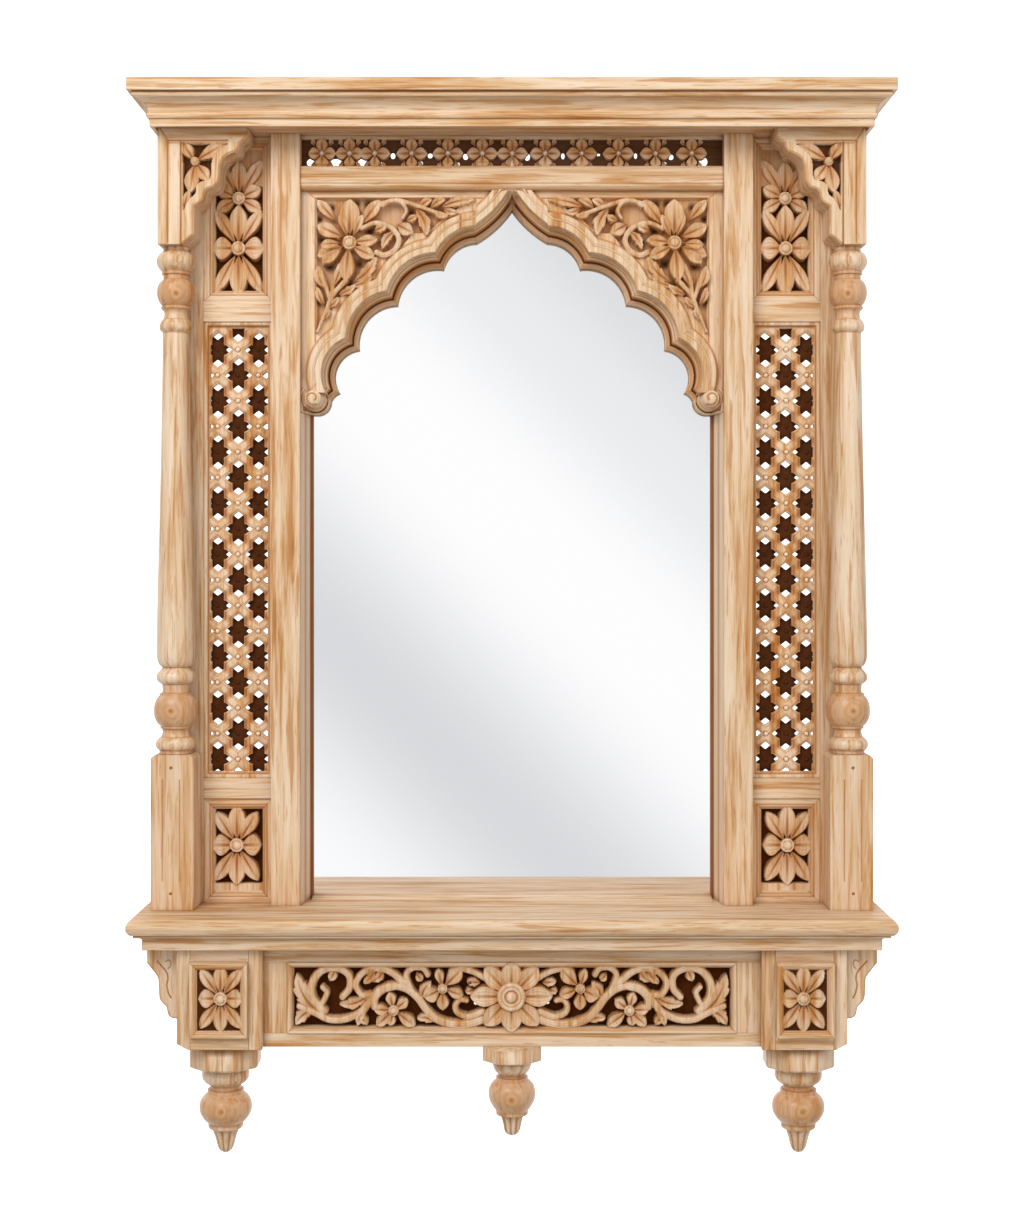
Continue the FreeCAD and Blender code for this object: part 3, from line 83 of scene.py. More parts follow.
class Shader:
    """Short ways to add and join the nodes of one material."""

    def __init__(self, name):
        self.material = bpy.data.materials.new(name)
        self.material.use_nodes = True
        self.tree = self.material.node_tree
        self.surface = self.tree.nodes["Principled BSDF"]

    def add(self, kind, inputs=(), **settings):
        node = self.tree.nodes.new("ShaderNode" + kind)
        for name, value in settings.items():
            setattr(node, name, value)
        for socket, value in dict(inputs).items():
            self.feed(node.inputs[socket], value)
        return node

    def feed(self, socket, value):
        if isinstance(value, bpy.types.NodeSocket):
            self.tree.links.new(value, socket)
        else:
            socket.default_value = value

    def finished(self, inputs):
        """Feeds the surface's sockets, given by name, and returns the material."""
        for name, value in inputs.items():
            self.feed(self.surface.inputs[name], value)
        return self.material

    def place(self):
        """Where each point of the object lies."""
        return self.add("TexCoord").outputs["Object"]

    def attribute(self, name, output="Fac"):
        return self.add("Attribute", attribute_name=name).outputs[output]

    def math(self, operation, *values, clamp=False):
        return self.add("Math", dict(enumerate(values)), operation=operation, use_clamp=clamp).outputs[0]

    def rest(self, value, clamp=False):
        """1 less a value."""
        return self.math("SUBTRACT", 1.0, value, clamp=clamp)

    def mix(self, share, first, second):
        return self.add("Mix", {0: share, 6: first, 7: second}, data_type="RGBA").outputs[2]

    def step(self, value, low, high, share=None):
        """0 below low, 1 or the share above high, smooth between them."""
        node = self.add("MapRange", {0: value, 1: low, 2: high}, interpolation_type="SMOOTHSTEP")
        if share is None:
            return node.outputs[0]
        return self.math("MULTIPLY", node.outputs[0], share)

    def within(self, value, low, high):
        """1 between low and high, 0 outside."""
        rise = self.step(value, low - MARK_EDGE, low + MARK_EDGE)
        return self.math("SUBTRACT", rise, self.step(value, high - MARK_EDGE, high + MARK_EDGE))

    def ramp(self, value, stops):
        node = self.add("ValToRGB", {0: value})
        points = node.color_ramp.elements
        while len(points) < len(stops):
            points.new(0.5)
        for point, (place, colour) in zip(points, stops):
            point.position = place
            point.color = colour
        return node.outputs[0]

    def noise(self, vector, scale, detail, roughness=0.55, distortion=0.0):
        inputs = {"Vector": vector, "Scale": scale, "Detail": detail}
        inputs.update({"Roughness": roughness, "Distortion": distortion})
        return self.add("TexNoise", inputs).outputs[0]

    def stretched(self, place, axis, along, across):
        """Places squeezed along the grain and spread across it."""
        scale = [across] * 3
        scale["XYZ".index(axis)] = along
        return self.add("Mapping", {"Vector": place, "Scale": scale}).outputs[0]

    def grain(self, place, axis, form):
        """Noise drawn out along the grain, in one of the forms below."""
        along, across, *texture = form
        return self.noise(self.stretched(place, axis, along, across), 1.0, *texture)


# Forms of grain: fineness along and across it, then the noise's detail, roughness and distortion.
STREAKS = (5.0, 95.0, 5.0, 0.62, 0.9)
LINES = (16.0, 520.0, 3.0, 0.6, 0.4)
PATCHES = (4.0, 20.0, 3.0, 0.5, 0.3)
FLECKS = (30.0, 420.0, 2.0, 0.5, 0.2)
STAINS = (8.0, 150.0, 3.0, 0.6, 0.3)
FIBRES = (260.0, 900.0, 4.0, 0.7)
DRAWN_LINES = (120.0, 1800.0, 3.0)
STREAK_SHARE = 0.60
LINE_SHARE = 0.18
PATCH_SHARE = 0.22
GRAIN_STOPS = ((0.340, UMBER), (0.390, STREAK), (0.440, STRAW), (0.505, CREAM), (0.600, WASHED))
FLECK_SHARE = 0.55
BOARD_STAIN = 0.75
CARVED_STAIN = 0.2
CRACK_FORM = (6.0, 15.0)
CRACK_REACH = (0.022, 0.040)
WARM_SHARE = 0.65
DEEP_SHARE = 0.75
EDGE_RADIUS = 0.0012
GRAIN_DEPTH = 0.0006
SATIN = 0.42
LINE_ROUGHNESS = 0.22
MARK_EDGE = 0.00025
PIT_ROUGHNESS = 0.4


def grain_colour(shader, place, axis, stain=BOARD_STAIN):
    """Limed pine: cream with streaks that run along the grain, and the fine lines for the bump."""
    fine = shader.grain(place, axis, LINES)
    streaks = shader.math("MULTIPLY", shader.grain(place, axis, STREAKS), STREAK_SHARE)
    value = shader.math("ADD", streaks, shader.math("MULTIPLY", fine, LINE_SHARE))
    patches = shader.math("MULTIPLY", shader.grain(place, axis, PATCHES), PATCH_SHARE)
    value = shader.math("ADD", value, patches)
    flecks = shader.step(shader.grain(place, axis, FLECKS), 0.61, 0.70, FLECK_SHARE)
    colour = shader.mix(flecks, shader.ramp(value, GRAIN_STOPS), STREAK)
    stains = shader.step(shader.grain(place, axis, STAINS), 0.55, 0.66, stain)
    return shader.mix(stains, colour, STREAK), fine


def cracks(shader, place, axis):
    """Short dark cracks and nail holes, far apart, longer along the grain."""
    cells = shader.add("TexVoronoi", {"Vector": shader.stretched(place, axis, *CRACK_FORM), "Scale": 1.0})
    return shader.rest(shader.step(cells.outputs[0], *CRACK_REACH))


def marked(shader, colour, place, marks):
    """Lines and bands at given places. Each mark: tint, strength, and limits in millimetres."""
    parts = shader.add("SeparateXYZ", {0: place}).outputs
    places = {"X": shader.math("ABSOLUTE", parts[0]), "Y": parts[1], "Z": parts[2]}
    for tint, strength, limits in marks:
        share = strength
        for axis, low, high in limits:
            share = shader.math("MULTIPLY", share, shader.within(places[axis], low * MM, high * MM))
        colour = shader.mix(share, colour, tint)
    return colour


def tone_stain_and_shade(shader, colour):
    """Tone above 0 paints brown, as stain and as painted shade in grooves and hollows; below 0 bare pale
    wood.
    """
    tone = shader.attribute("tone")
    colour = shader.mix(shader.step(tone, 0.0, 0.6, WARM_SHARE), colour, EDGE_STAIN_AND_SHADE)
    # The deepest tones are painted shade.
    colour = shader.mix(shader.step(tone, 0.45, 1.0, DEEP_SHARE), colour, CREASE_SHADE)
    return shader.mix(shader.math("MULTIPLY", tone, -1.0, clamp=True), colour, PALE)


def crease_shade_and_edge_stain(shader, colour, place, edge_share=0.6, crease_reach=0.012, crease_share=0.75):
    """Painted shade in the creases, found by ambient occlusion, brown stain along the edges, and the normal
    of the rounded edges.
    """
    occlusion = shader.add("AmbientOcclusion", {"Distance": crease_reach}, samples=6)
    closed = shader.rest(occlusion.outputs["AO"], clamp=True)
    # Painted shade: creases darken where ambient occlusion finds them closed in.
    colour = shader.mix(shader.step(closed, 0.15, 0.95, crease_share), colour, CREASE_SHADE)
    rounded = shader.add("Bevel", {"Radius": EDGE_RADIUS}, samples=4).outputs[0]
    flat = shader.add("NewGeometry").outputs["Normal"]
    alike = shader.add("VectorMath", {0: rounded, 1: flat}, operation="DOT_PRODUCT").outputs["Value"]
    uneven = shader.step(shader.noise(place, 60.0, 3.0), 0.35, 0.65, edge_share)
    edge = shader.step(shader.rest(alike, clamp=True), 0.005, 0.12, uneven)
    return shader.mix(edge, colour, EDGE_STAIN_AND_SHADE), rounded


def finish_wood(shader, colour, height, normal, strength=0.25, dull=0.0, specular=0.22):
    """The satin surface that every wooden piece shares, duller where dull is above 0."""
    relief = {"Height": height, "Normal": normal, "Strength": strength, "Distance": GRAIN_DEPTH}
    rough = shader.math("ADD", shader.math("MULTIPLY", height, LINE_ROUGHNESS), SATIN)
    rough = shader.math("ADD", rough, shader.math("MULTIPLY", dull, PIT_ROUGHNESS), clamp=True)
    return shader.finished({
        "Base Color": colour,
        "Roughness": rough,
        "Normal": shader.add("Bump", relief).outputs[0],
        "Specular IOR Level": specular,
    })


def pine_board(name, axis, marks=(), crossed=()):
    """A plain board with its grain along one axis, and along X within the crossed limits."""
    shader = Shader(name)
    place = shader.place()
    colour, fine = grain_colour(shader, place, axis)
    if crossed:
        level, _ = grain_colour(shader, place, "X")
        colour = marked(shader, colour, place, [(level, 1.0, limits) for limits in crossed])
    colour = shader.mix(cracks(shader, place, axis), colour, KNOT_HEART)
    colour = marked(shader, colour, place, marks)
    colour, normal = crease_shade_and_edge_stain(shader, colour, place)
    return finish_wood(shader, colour, fine, normal)


def pine_carved(name):
    """Carved pine: shade 0 is painted shade, near-black on the sunk ground and behind the piercings; 1 the
    carved face.

    The grain attribute gives each point its place in the plank it was cut from, with
    the grain along Z.
    """
    shader = Shader(name)
    place = shader.attribute("grain", "Vector")
    colour, fine = grain_colour(shader, place, "Z", CARVED_STAIN)
    colour, normal = crease_shade_and_edge_stain(shader, colour, place, edge_share=0.5, crease_reach=0.007, crease_share=0.5)
    # Painted shade: below 1 the colour turns towards the near-black brown.
    ground = shader.rest(shader.attribute("shade"), clamp=True)
    colour = shader.mix(ground, tone_stain_and_shade(shader, colour), PIT_SHADE)
    return finish_wood(shader, colour, fine, normal, strength=0.18, dull=ground, specular=0.12)


KNOT_STOPS = ((0.42, STREAK), (0.47, STRAW), (0.53, CREAM), (0.57, WASHED))
RING_WANDER = 9.0
RING_DENSITY = 0.85
RING_CONTRAST = 0.035
RING_LEVEL = 0.49
RING_SHARE = 0.8


def pine_turned(name):
    """Turned pine: rings of grain about each knot, streaks along the axis elsewhere."""
    shader = Shader(name)
    place = shader.attribute("grain", "Vector")
    colour, fine = grain_colour(shader, place, "Z")
    reach = shader.attribute("knot")
    wander = shader.math("MULTIPLY", shader.noise(place, 90.0, 2.0), RING_WANDER)
    rings = shader.math("SINE", shader.math("MULTIPLY", shader.math("ADD", reach, wander), RING_DENSITY))
    rings = shader.math("ADD", shader.math("MULTIPLY", rings, RING_CONTRAST), RING_LEVEL)
    near = shader.math("MULTIPLY", shader.rest(shader.step(reach, 4.0, 20.0)), RING_SHARE)
    colour = shader.mix(near, colour, shader.ramp(rings, KNOT_STOPS))
    colour = shader.mix(shader.rest(shader.step(reach, 1.8, 4.6)), colour, STREAK)
    colour = shader.mix(shader.rest(shader.step(reach, 0.9, 1.7)), colour, KNOT_HEART)
    colour, normal = crease_shade_and_edge_stain(shader, colour, place)
    finish_wood(shader, tone_stain_and_shade(shader, colour), fine, normal)
    return shader.finished({"Coat Weight": 0.45, "Coat Roughness": 0.25})


def silvered_glass():
    """The mirror: silver behind glass, with a faint haze that softens what it reflects."""
    shader = Shader("silvered_glass")
    haze = shader.noise(shader.place(), 3.0, 2.0)
    rough = shader.math("MULTIPLY_ADD", haze, 0.02, 0.03)
    return shader.finished({"Base Color": linear(250, 250, 250), "Metallic": 1.0, "Roughness": rough})


def backing_fibre():
    """The hardboard behind the glass: flat brown with short fibres."""
    shader = Shader("backing_fibre")
    fibres = shader.grain(shader.place(), "X", FIBRES)
    colour = shader.ramp(fibres, ((0.35, linear(96, 70, 46)), (0.65, linear(138, 106, 74))))
    bump = shader.add("Bump", {"Height": fibres, "Strength": 0.2, "Distance": 0.0004})
    return shader.finished({"Base Color": colour, "Roughness": 0.85, "Normal": bump.outputs[0]})


def plated_steel():
    """Zinc-plated steel of the hangers: bright, with a drawn texture and dull spots."""
    shader = Shader("plated_steel")
    place = shader.place()
    drawn = shader.grain(place, "Z", DRAWN_LINES)
    spots = shader.noise(place, 260.0, 4.0, 0.7)
    colour = shader.ramp(spots, ((0.4, linear(150, 152, 156)), (0.6, linear(196, 198, 202))))
    rough = shader.math("MULTIPLY_ADD", spots, 0.25, 0.22)
    bump = shader.add("Bump", {"Height": drawn, "Strength": 0.12, "Distance": 0.0002}).outputs[0]
    return shader.finished({"Base Color": colour, "Metallic": 1.0, "Roughness": rough, "Normal": bump})


# Carried-over boards

def dress(material, *names):
    """Gives CAD nodes their material."""
    for name in names:
        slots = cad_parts[name].data.materials
        slots.clear()
        slots.append(material)


def both(*stems):
    """Left and right node names."""
    return [stem + side for stem in stems for side in ("_left", "_right")]


# Along the inner stile's edge: a pale strip with a thin brown line, and beside them a band of painted shade.
STILE_MARKS = (
    (WASHED, 0.7, (("X", 240.0, 246.3),)),
    (STREAK, 0.7, (("X", 242.6, 243.9),)),
    (CREASE_SHADE, 0.9, (("X", 230.0, 240.0),)),
)
# Painted shade on the lower half of the ovolo and in the line where it meets the rail.
FRIEZE_MARKS = (
    (STREAK, 0.45, (("Z", 842.0, 846.6),)),
    (CREASE_SHADE, 0.85, (("Z", 849.2, 850.1),)),
)
# Incised lines on the block's front, painted dark as painted shade in their grooves.
BLOCK_MARKS = (
    (CREASE_SHADE, 0.7, (("X", 362.5, 363.3), ("Y", -153.0, -151.0))),
    (CREASE_SHADE, 0.7, (("X", 296.6, 297.4), ("Z", -42.1, -9.0), ("Y", -153.0, -151.0))),
    (CREASE_SHADE, 0.7, (("X", 296.6, 297.4), ("Z", -141.9, -127.2), ("Y", -153.0, -151.0))),
)
BLOCK_RAILS = (
    (("X", 297.0, 362.9), ("Z", -42.1, -9.0)),
    (("X", 297.0, 362.9), ("Z", -142.0, -127.2)),
)


def dress_boards():
    """Each board gets pine whose grain follows the board."""
    upright = pine_board("pine_upright", "Z")
    level = pine_board("pine_level", "X")
    deep = pine_board("pine_deep", "Y")
    dress(pine_board("pine_stile", "Z", STILE_MARKS), *both("inner_stile"))
    dress(pine_board("pine_frieze", "X", FRIEZE_MARKS), "frieze_rail")
    dress(pine_board("pine_block", "Z", BLOCK_MARKS, BLOCK_RAILS), *both("corner_block"))
    dress(level, "top_board", "cornice_front", "soffit_board", "header_rail")
    dress(level, "mirror_sill", "shelf_board", "shelf_moulding_front", "apron_top_rail", "apron_bottom_rail")
    dress(level, *both("upper_rail", "lower_rail"))
    dress(upright, *both("side_board", "outer_stile", "apron_stile"))
    dress(deep, *both("cornice", "shelf_moulding"))


# Stage

WHITE = (1.0, 1.0, 1.0, 1.0)
BLACK = (0.0, 0.0, 0.0, 1.0)
WALL_SIZE = 44.0
WALL_PLACE = (0.0, 5.0, 0.3)
WALL_GLOW = 0.9
CARD_SIZE = 9.0
CARD_PLACE = (0.0, -6.0, 0.4)
CARD_SLANT = 0.97
CARD_STOPS = (
    (0.04, linear(248, 249, 250)),
    (0.26, linear(213, 214, 217)),
    (0.51, linear(253, 253, 254)),
    (0.58, linear(253, 253, 254)),
    (0.76, linear(232, 233, 235)),
    (0.88, linear(218, 219, 222)),
)
SURROUND_GLOW = 0.36
LAMP_SIZE = 1.6
LAMP_TARGET = (0.0, -0.1, 0.4)
KEY_LAMP = ("key", (-1.1, -2.4, 2.1), 54.0)
FILL_LAMP = ("fill", (1.8, -2.2, 1.2), 18.0)
CAMERA_LENS = 55.3
CAMERA_SENSOR = 36.0
CAMERA_SHIFT = -0.0362


def stage_plane(name, size, place, shader, base, glow, strength):
    """An upright glowing plane that isn't part of the mirror."""
    bpy.ops.mesh.primitive_plane_add(size=size, location=place, rotation=(math.pi / 2, 0.0, 0.0))
    plane = bpy.context.object
    plane.name = name
    inputs = {"Base Color": base, "Emission Color": glow, "Emission Strength": strength}
    plane.data.materials.append(shader.finished(inputs))
    return plane


def white_wall():
    """Bright white backdrop, so far behind the mirror that the back can be seen too."""
    wall = stage_plane("backdrop", WALL_SIZE, WALL_PLACE, Shader("backdrop_white"), WHITE, WHITE, WALL_GLOW)


def reflected_card():
    """The pale card that the glass reflects, light in a slanting band."""
    shader = Shader("card_gradient")
    parts = shader.add("SeparateXYZ", {0: shader.place()}).outputs
    slant = shader.math("MULTIPLY_ADD", parts[0], CARD_SLANT, parts[1])
    glow = shader.ramp(shader.math("MULTIPLY_ADD", slant, 2.0, 0.5), CARD_STOPS)
    glow.node.color_ramp.interpolation = "EASE"
    card = stage_plane("reflected_card", 1.0, CARD_PLACE, shader, BLACK, glow, 1.0)
    card.scale = (CARD_SIZE, CARD_SIZE, 1.0)


def soft_light(name, place, power):
    """A large area lamp that looks at the mirror."""
    data = bpy.data.lights.new(name, "AREA")
    data.shape = "SQUARE"
    data.size = LAMP_SIZE
    data.energy = power
    lamp = bpy.data.objects.new(name, data)
    lamp.location = place
    direction = Vector(np.subtract(LAMP_TARGET, place))
    lamp.rotation_euler = direction.to_track_quat("-Z", "Y").to_euler()
    bpy.context.scene.collection.objects.link(lamp)


def light_stage():
    """Soft studio light from above and both sides, with a pale surround."""
    world = bpy.data.worlds.new("pale_surround")
    world.use_nodes = True
    background = world.node_tree.nodes["Background"]
    background.inputs[0].default_value = WHITE
    background.inputs[1].default_value = SURROUND_GLOW
    bpy.context.scene.world = world
    soft_light(*KEY_LAMP)
    soft_light(*FILL_LAMP)


def place_camera():
    """The camera that frames the mirror as the photograph does."""
    data = bpy.data.cameras.new("photo_camera")
    data.lens = CAMERA_LENS
    data.sensor_width = CAMERA_SENSOR
    data.shift_y = CAMERA_SHIFT
    camera = bpy.data.objects.new("photo_camera", data)
    camera.location = (0.0, -CAMERA_BACK * MM, EYE_HEIGHT * MM)
    camera.rotation_euler = (math.pi / 2, 0.0, 0.0)
    bpy.context.scene.collection.objects.link(camera)
    bpy.context.scene.camera = camera


# Carved faces

CLOSED = -99.0
FAR = 999.0
TOOTH = 0.28
LEAF_CUP = 1.4
LEAF_GROOVE = 1.3
LEAF_VEIN = 0.3
LEAF_EDGE = 4.5
STEM_RISE = 3.2
BOSS_RISE = 2.6
FRAME_DROP = 4.0


def pixel_size(forward):
    """Millimetres that one photograph pixel covers at a distance in front of the wall."""
    return PIXEL_MM * (1 + (SHELF_NOSE - forward) / VIEW_DISTANCE)


def smooth(value, low, high):
    """0 below low, 1 above high, smooth between them."""
    share = np.clip((value - low) / (high - low), 0, 1)
    return share * share * (3 - 2 * share)


def ridge(value, centre, width):
    """1 where a value meets the centre, falling off over a width to both sides."""
    return np.exp(-(((value - centre) / width) ** 2))


def height_at(down, forward):
    """Height in millimetres of a photograph row, at a distance in front of the wall."""
    return (VANISHING_Y - down) * pixel_size(forward) + EYE_HEIGHT


def curve_through(points, spacing=1.5):
    """Points along a smooth curve through a few given ones."""
    given = np.array(points, float)
    padded = np.vstack([2 * given[0] - given[1], given, 2 * given[-1] - given[-2]])
    found = []
    for before, start, end, after in zip(padded, padded[1:], padded[2:], padded[3:]):
        count = max(2, int(np.linalg.norm(end - start) / spacing))
        share = np.linspace(0, 1, count, endpoint=False)[:, None]
        pull = (2 * before - 5 * start + 4 * end - after) * share ** 2
        twist = (3 * start - before - 3 * end + after) * share ** 3
        found.append(0.5 * (2 * start + (end - before) * share + pull + twist))
    return np.vstack(found + [given[-1:]])


def way_to(px, py, start, end):
    """Share of a straight line at the place nearest to each point, and the way from there."""
    run = np.subtract(end, start)
    share = (px - start[0]) * run[0] + (py - start[1]) * run[1]
    share = np.clip(share / max(run[0] ** 2 + run[1] ** 2, 1e-12), 0, 1)
    return share, px - start[0] - share * run[0], py - start[1] - share * run[1]


def beside_curve(px, py, line):
    """Distance to the side of a curve, and the share of the curve at the nearest place."""
    best = np.full(px.shape, FAR)
    offset = np.zeros(px.shape)
    along = np.zeros(px.shape)
    for number, (start, end) in enumerate(zip(line, line[1:])):
        share, dx, dy = way_to(px, py, start, end)
        run = end - start
        distance = np.hypot(dx, dy)
        closer = distance < best
        best = np.where(closer, distance, best)
        offset = np.where(closer, np.sign(dy * run[0] - dx * run[1]) * distance, offset)
        along = np.where(closer, (number + share) / (len(line) - 1), along)
    return offset, along


def leaf_shape(inside, crest, teeth):
    """Half width of a leaf along its length, as a share of its widest place, which is the crest."""
    shape = np.sin(np.pi * inside ** (math.log(0.5) / math.log(crest))) ** 0.8
    if teeth:
        shape = shape * (1 - TOOTH + TOOTH * ((inside * teeth) % 1.0))
    return shape


def leaf_relief(inside, side, half, top, veins):
    """Height and tone of a leaf: cupped, with a rolled rim, a groove down its middle and veins."""
    across = side / half
    flat = np.abs(across)
    cup = LEAF_CUP * (flat / 0.85) ** 2
    edge = 1 - smooth(flat, 0.84, 1.0)
    groove = ridge(side, 0.0, np.minimum(0.16 * half, 0.9)) * (1 - inside ** 3)
    vein = np.cos(2 * np.pi * veins * across) * smooth(inside, 0.05, 0.3)
    slope = 1.6 * (1 - smooth(inside, 0.0, 0.45)) + 1.2 * smooth(inside, 0.75, 1.0)
    height = top - LEAF_CUP + cup - LEAF_GROOVE * groove + LEAF_VEIN * vein - slope
    height = height * edge + (top - LEAF_EDGE) * (1 - edge)
    # Tone: painted shade in the middle groove, towards the root and between the veins, and a brown line along
    # the rim.
    rim = 0.6 * ridge(flat, 0.97, 0.09)
    tone = 0.85 * groove + 0.75 * (1 - inside) ** 2 + rim + 0.12 * (1 - vein)
    return height, np.clip(tone, 0, 1)


class Carving:
    """Heights over a face that looks at the viewer. Places are photograph pixels, heights millimetres."""

    def __init__(self, box, forward, step):
        left, right, low, high = box
        columns = int(round((right - left) / step)) + 1
        rows = int(round((high - low) / step)) + 1
        self.x, self.z = np.meshgrid(np.linspace(left, right, columns), np.linspace(low, high, rows))
        self.across = np.minimum(self.x - left, right - self.x)
        self.up = np.minimum(self.z - low, high - self.z)
        self.inset = np.minimum(self.across, self.up)
        self.forward = forward
        self.pixel = pixel_size(forward)
        self.px = VANISHING_X + self.x / self.pixel
        self.py = VANISHING_Y - (self.z - EYE_HEIGHT) / self.pixel
        self.height = np.zeros_like(self.x)
        self.shade = np.ones_like(self.x)
        self.tone = np.zeros_like(self.x)
        self.open = np.full_like(self.x, CLOSED)
        self.level = np.zeros(self.x.shape, bool)

    def reach(self, centre):
        """Distance of every grid point from a place."""
        return np.hypot(self.px - centre[0], self.py - centre[1])

    def sink(self, mask, depth, shade=0.0):
        """Cuts a flat ground and paints it with the given shade, 0 being painted shade at its darkest."""
        self.height[mask] = -depth
        self.shade[mask] = shade

    def raise_to(self, place, mask, height, tone):
        """Lays a carved shape over what is there, where it is higher."""
        kept = mask & (height > self.height[place])
        self.height[place] = np.where(kept, height, self.height[place])
        self.shade[place] = np.where(kept, 1.0, self.shade[place])
        self.tone[place] = np.where(kept, tone, self.tone[place])

    def near(self, points, margin):
        """The part of the grid around some points."""
        low = np.min(points, axis=0) - margin
        high = np.max(points, axis=0) + margin
        columns = np.nonzero((self.px[0] >= low[0]) & (self.px[0] <= high[0]))[0]
        rows = np.nonzero((self.py[:, 0] >= low[1]) & (self.py[:, 0] <= high[1]))[0]
        if len(columns) == 0 or len(rows) == 0:
            return None
        return slice(rows[0], rows[-1] + 1), slice(columns[0], columns[-1] + 1)

    def leaf(self, root, tip, width, top, bend=0.0, teeth=0, crest=0.55, veins=3.5):
        """A leaf or petal from its root to its tip."""
        place = self.near([root, tip], width)
        if place is None:
            return
        along = np.subtract(tip, root)
        length = np.linalg.norm(along)
        along = along / length
        dx = self.px[place] - root[0]
        dy = self.py[place] - root[1]
        reach = (dx * along[0] + dy * along[1]) / length
        inside = np.clip(reach, 0, 1)
        side = dy * along[0] - dx * along[1] - bend * length * np.sin(np.pi * inside)
        half = np.maximum(width / 2 * leaf_shape(inside, crest, teeth), 0.01)
        height, tone = leaf_relief(inside, side, half, top, veins)
        self.raise_to(place, (reach > 0) & (reach < 1) & (np.abs(side) < half), height, tone)

    def stroke(self, points, width, top, end_width, ribs=1.5):
        """A rounded, fluted stem along a curve."""
        line = curve_through(points)
        place = self.near(line, max(width, end_width))
        if place is None:
            return
        offset, along = beside_curve(self.px[place], self.py[place], line)
        across = 2 * offset / (width + (end_width - width) * along)
        flat = np.clip(np.abs(across), 0, 1)
        round_top = np.sqrt(1 - flat ** 2)
        rib = 0.35 * np.cos(2 * np.pi * ribs * across) * round_top
        height = top - STEM_RISE + STEM_RISE * round_top + rib
        # Tone: painted shade down the stem's sides and in the valleys between its ribs.
        tone = np.clip(0.75 * (1 - round_top) - 0.9 * rib + 0.1, 0, 1)
        self.raise_to(place, np.abs(across) < 1, height, tone)

    def ball(self, centre, radius, top, ring=0.0):
        """A round boss, with a ring around it where one is given."""
        place = self.near([centre], radius + ring + 1)
        if place is None:
            return
        reach = self.reach(centre)[place]
        dome = np.sqrt(np.clip(1 - (reach / radius) ** 2, 0, 1))
        # Tone: painted shade in the collar's hollows and round the foot of the boss.
        if ring:
            share = np.clip((reach - radius) / ring, 0, 1)
            swell = np.sin(np.pi * share)
            collar = top - 3.0 + 1.3 * swell - 0.9 * (share < 0.15)
            self.raise_to(place, reach < radius + ring, collar, 0.55 * (1 - swell))
        self.raise_to(place, reach < radius, top - BOSS_RISE + BOSS_RISE * dome, 0.5 * (1 - dome))

    def frame(self, width):
        """A border with a moulded inner edge, mitred at its corners."""
        mask = self.inset < width
        fall = smooth(self.inset, width * 0.62, width)
        bead = ridge(self.inset, width * 0.55, width * 0.07)
        mitre = ridge(self.across, self.up, 0.55) * (self.inset > 0.5)
        height = -FRAME_DROP * fall - 0.7 * bead - 0.35 * mitre
        self.height[mask] = height[mask]
        self.level |= mask & (self.up < self.across)
        self.shade[mask] = 1.0
        # Tone: painted shade in the bead's groove, the mitre and down the falling inner edge.
        self.tone[mask] = np.clip(0.8 * bead + 0.6 * mitre + 2.0 * fall * (1 - fall), 0, 1)[mask]


def inside_polygon(px, py, corners):
    """Which grid points lie inside a closed outline."""
    inside = np.zeros(px.shape, bool)
    for (ax, ay), (bx, by) in zip(corners, corners[1:] + corners[:1]):
        if ay == by:
            continue
        crosses = (ay > py) != (by > py)
        inside ^= crosses & (px < (bx - ax) * (py - ay) / (by - ay) + ax)
    return inside


def cell_corners(grid):
    """The four corners of every cell of a grid, in order round the cell."""
    return grid[:-1, :-1], grid[:-1, 1:], grid[1:, 1:], grid[1:, :-1]


def snap_to_openings(carving, kept):
    """Moves the grid points beside an opening onto its edge."""
    solid = np.zeros(carving.x.shape, bool)
    hollow = np.zeros(carving.x.shape, bool)
    for solid_corner, hollow_corner in zip(cell_corners(solid), cell_corners(hollow)):
        solid_corner |= kept
        hollow_corner |= ~kept
    edge = solid & hollow
    step_x = carving.x[0, 1] - carving.x[0, 0]
    step_z = carving.z[1, 0] - carving.z[0, 0]
    slope_z, slope_x = np.gradient(carving.open, step_z, step_x)
    steep = np.maximum(slope_x ** 2 + slope_z ** 2, 0.2)
    limit = 0.7 * step_x
    shift_x = np.clip(-carving.open * slope_x / steep, -limit, limit)
    shift_z = np.clip(-carving.open * slope_z / steep, -limit, limit)
    return carving.x + edge * shift_x, carving.z + edge * shift_z


def wall_quads(kept, index):
    """Corner pairs of the cell edges where solid meets nothing, front corners in order."""
    padded = np.pad(kept, 1)
    neighbours = (padded[:-2, 1:-1], padded[1:-1, 2:], padded[2:, 1:-1], padded[1:-1, :-2])
    corners = cell_corners(index)
    pairs = []
    for neighbour, start, end in zip(neighbours, corners, corners[1:] + corners[:1]):
        bare = kept & ~neighbour
        pairs.append(np.stack([start[bare], end[bare]], axis=1))
    return np.vstack(pairs)


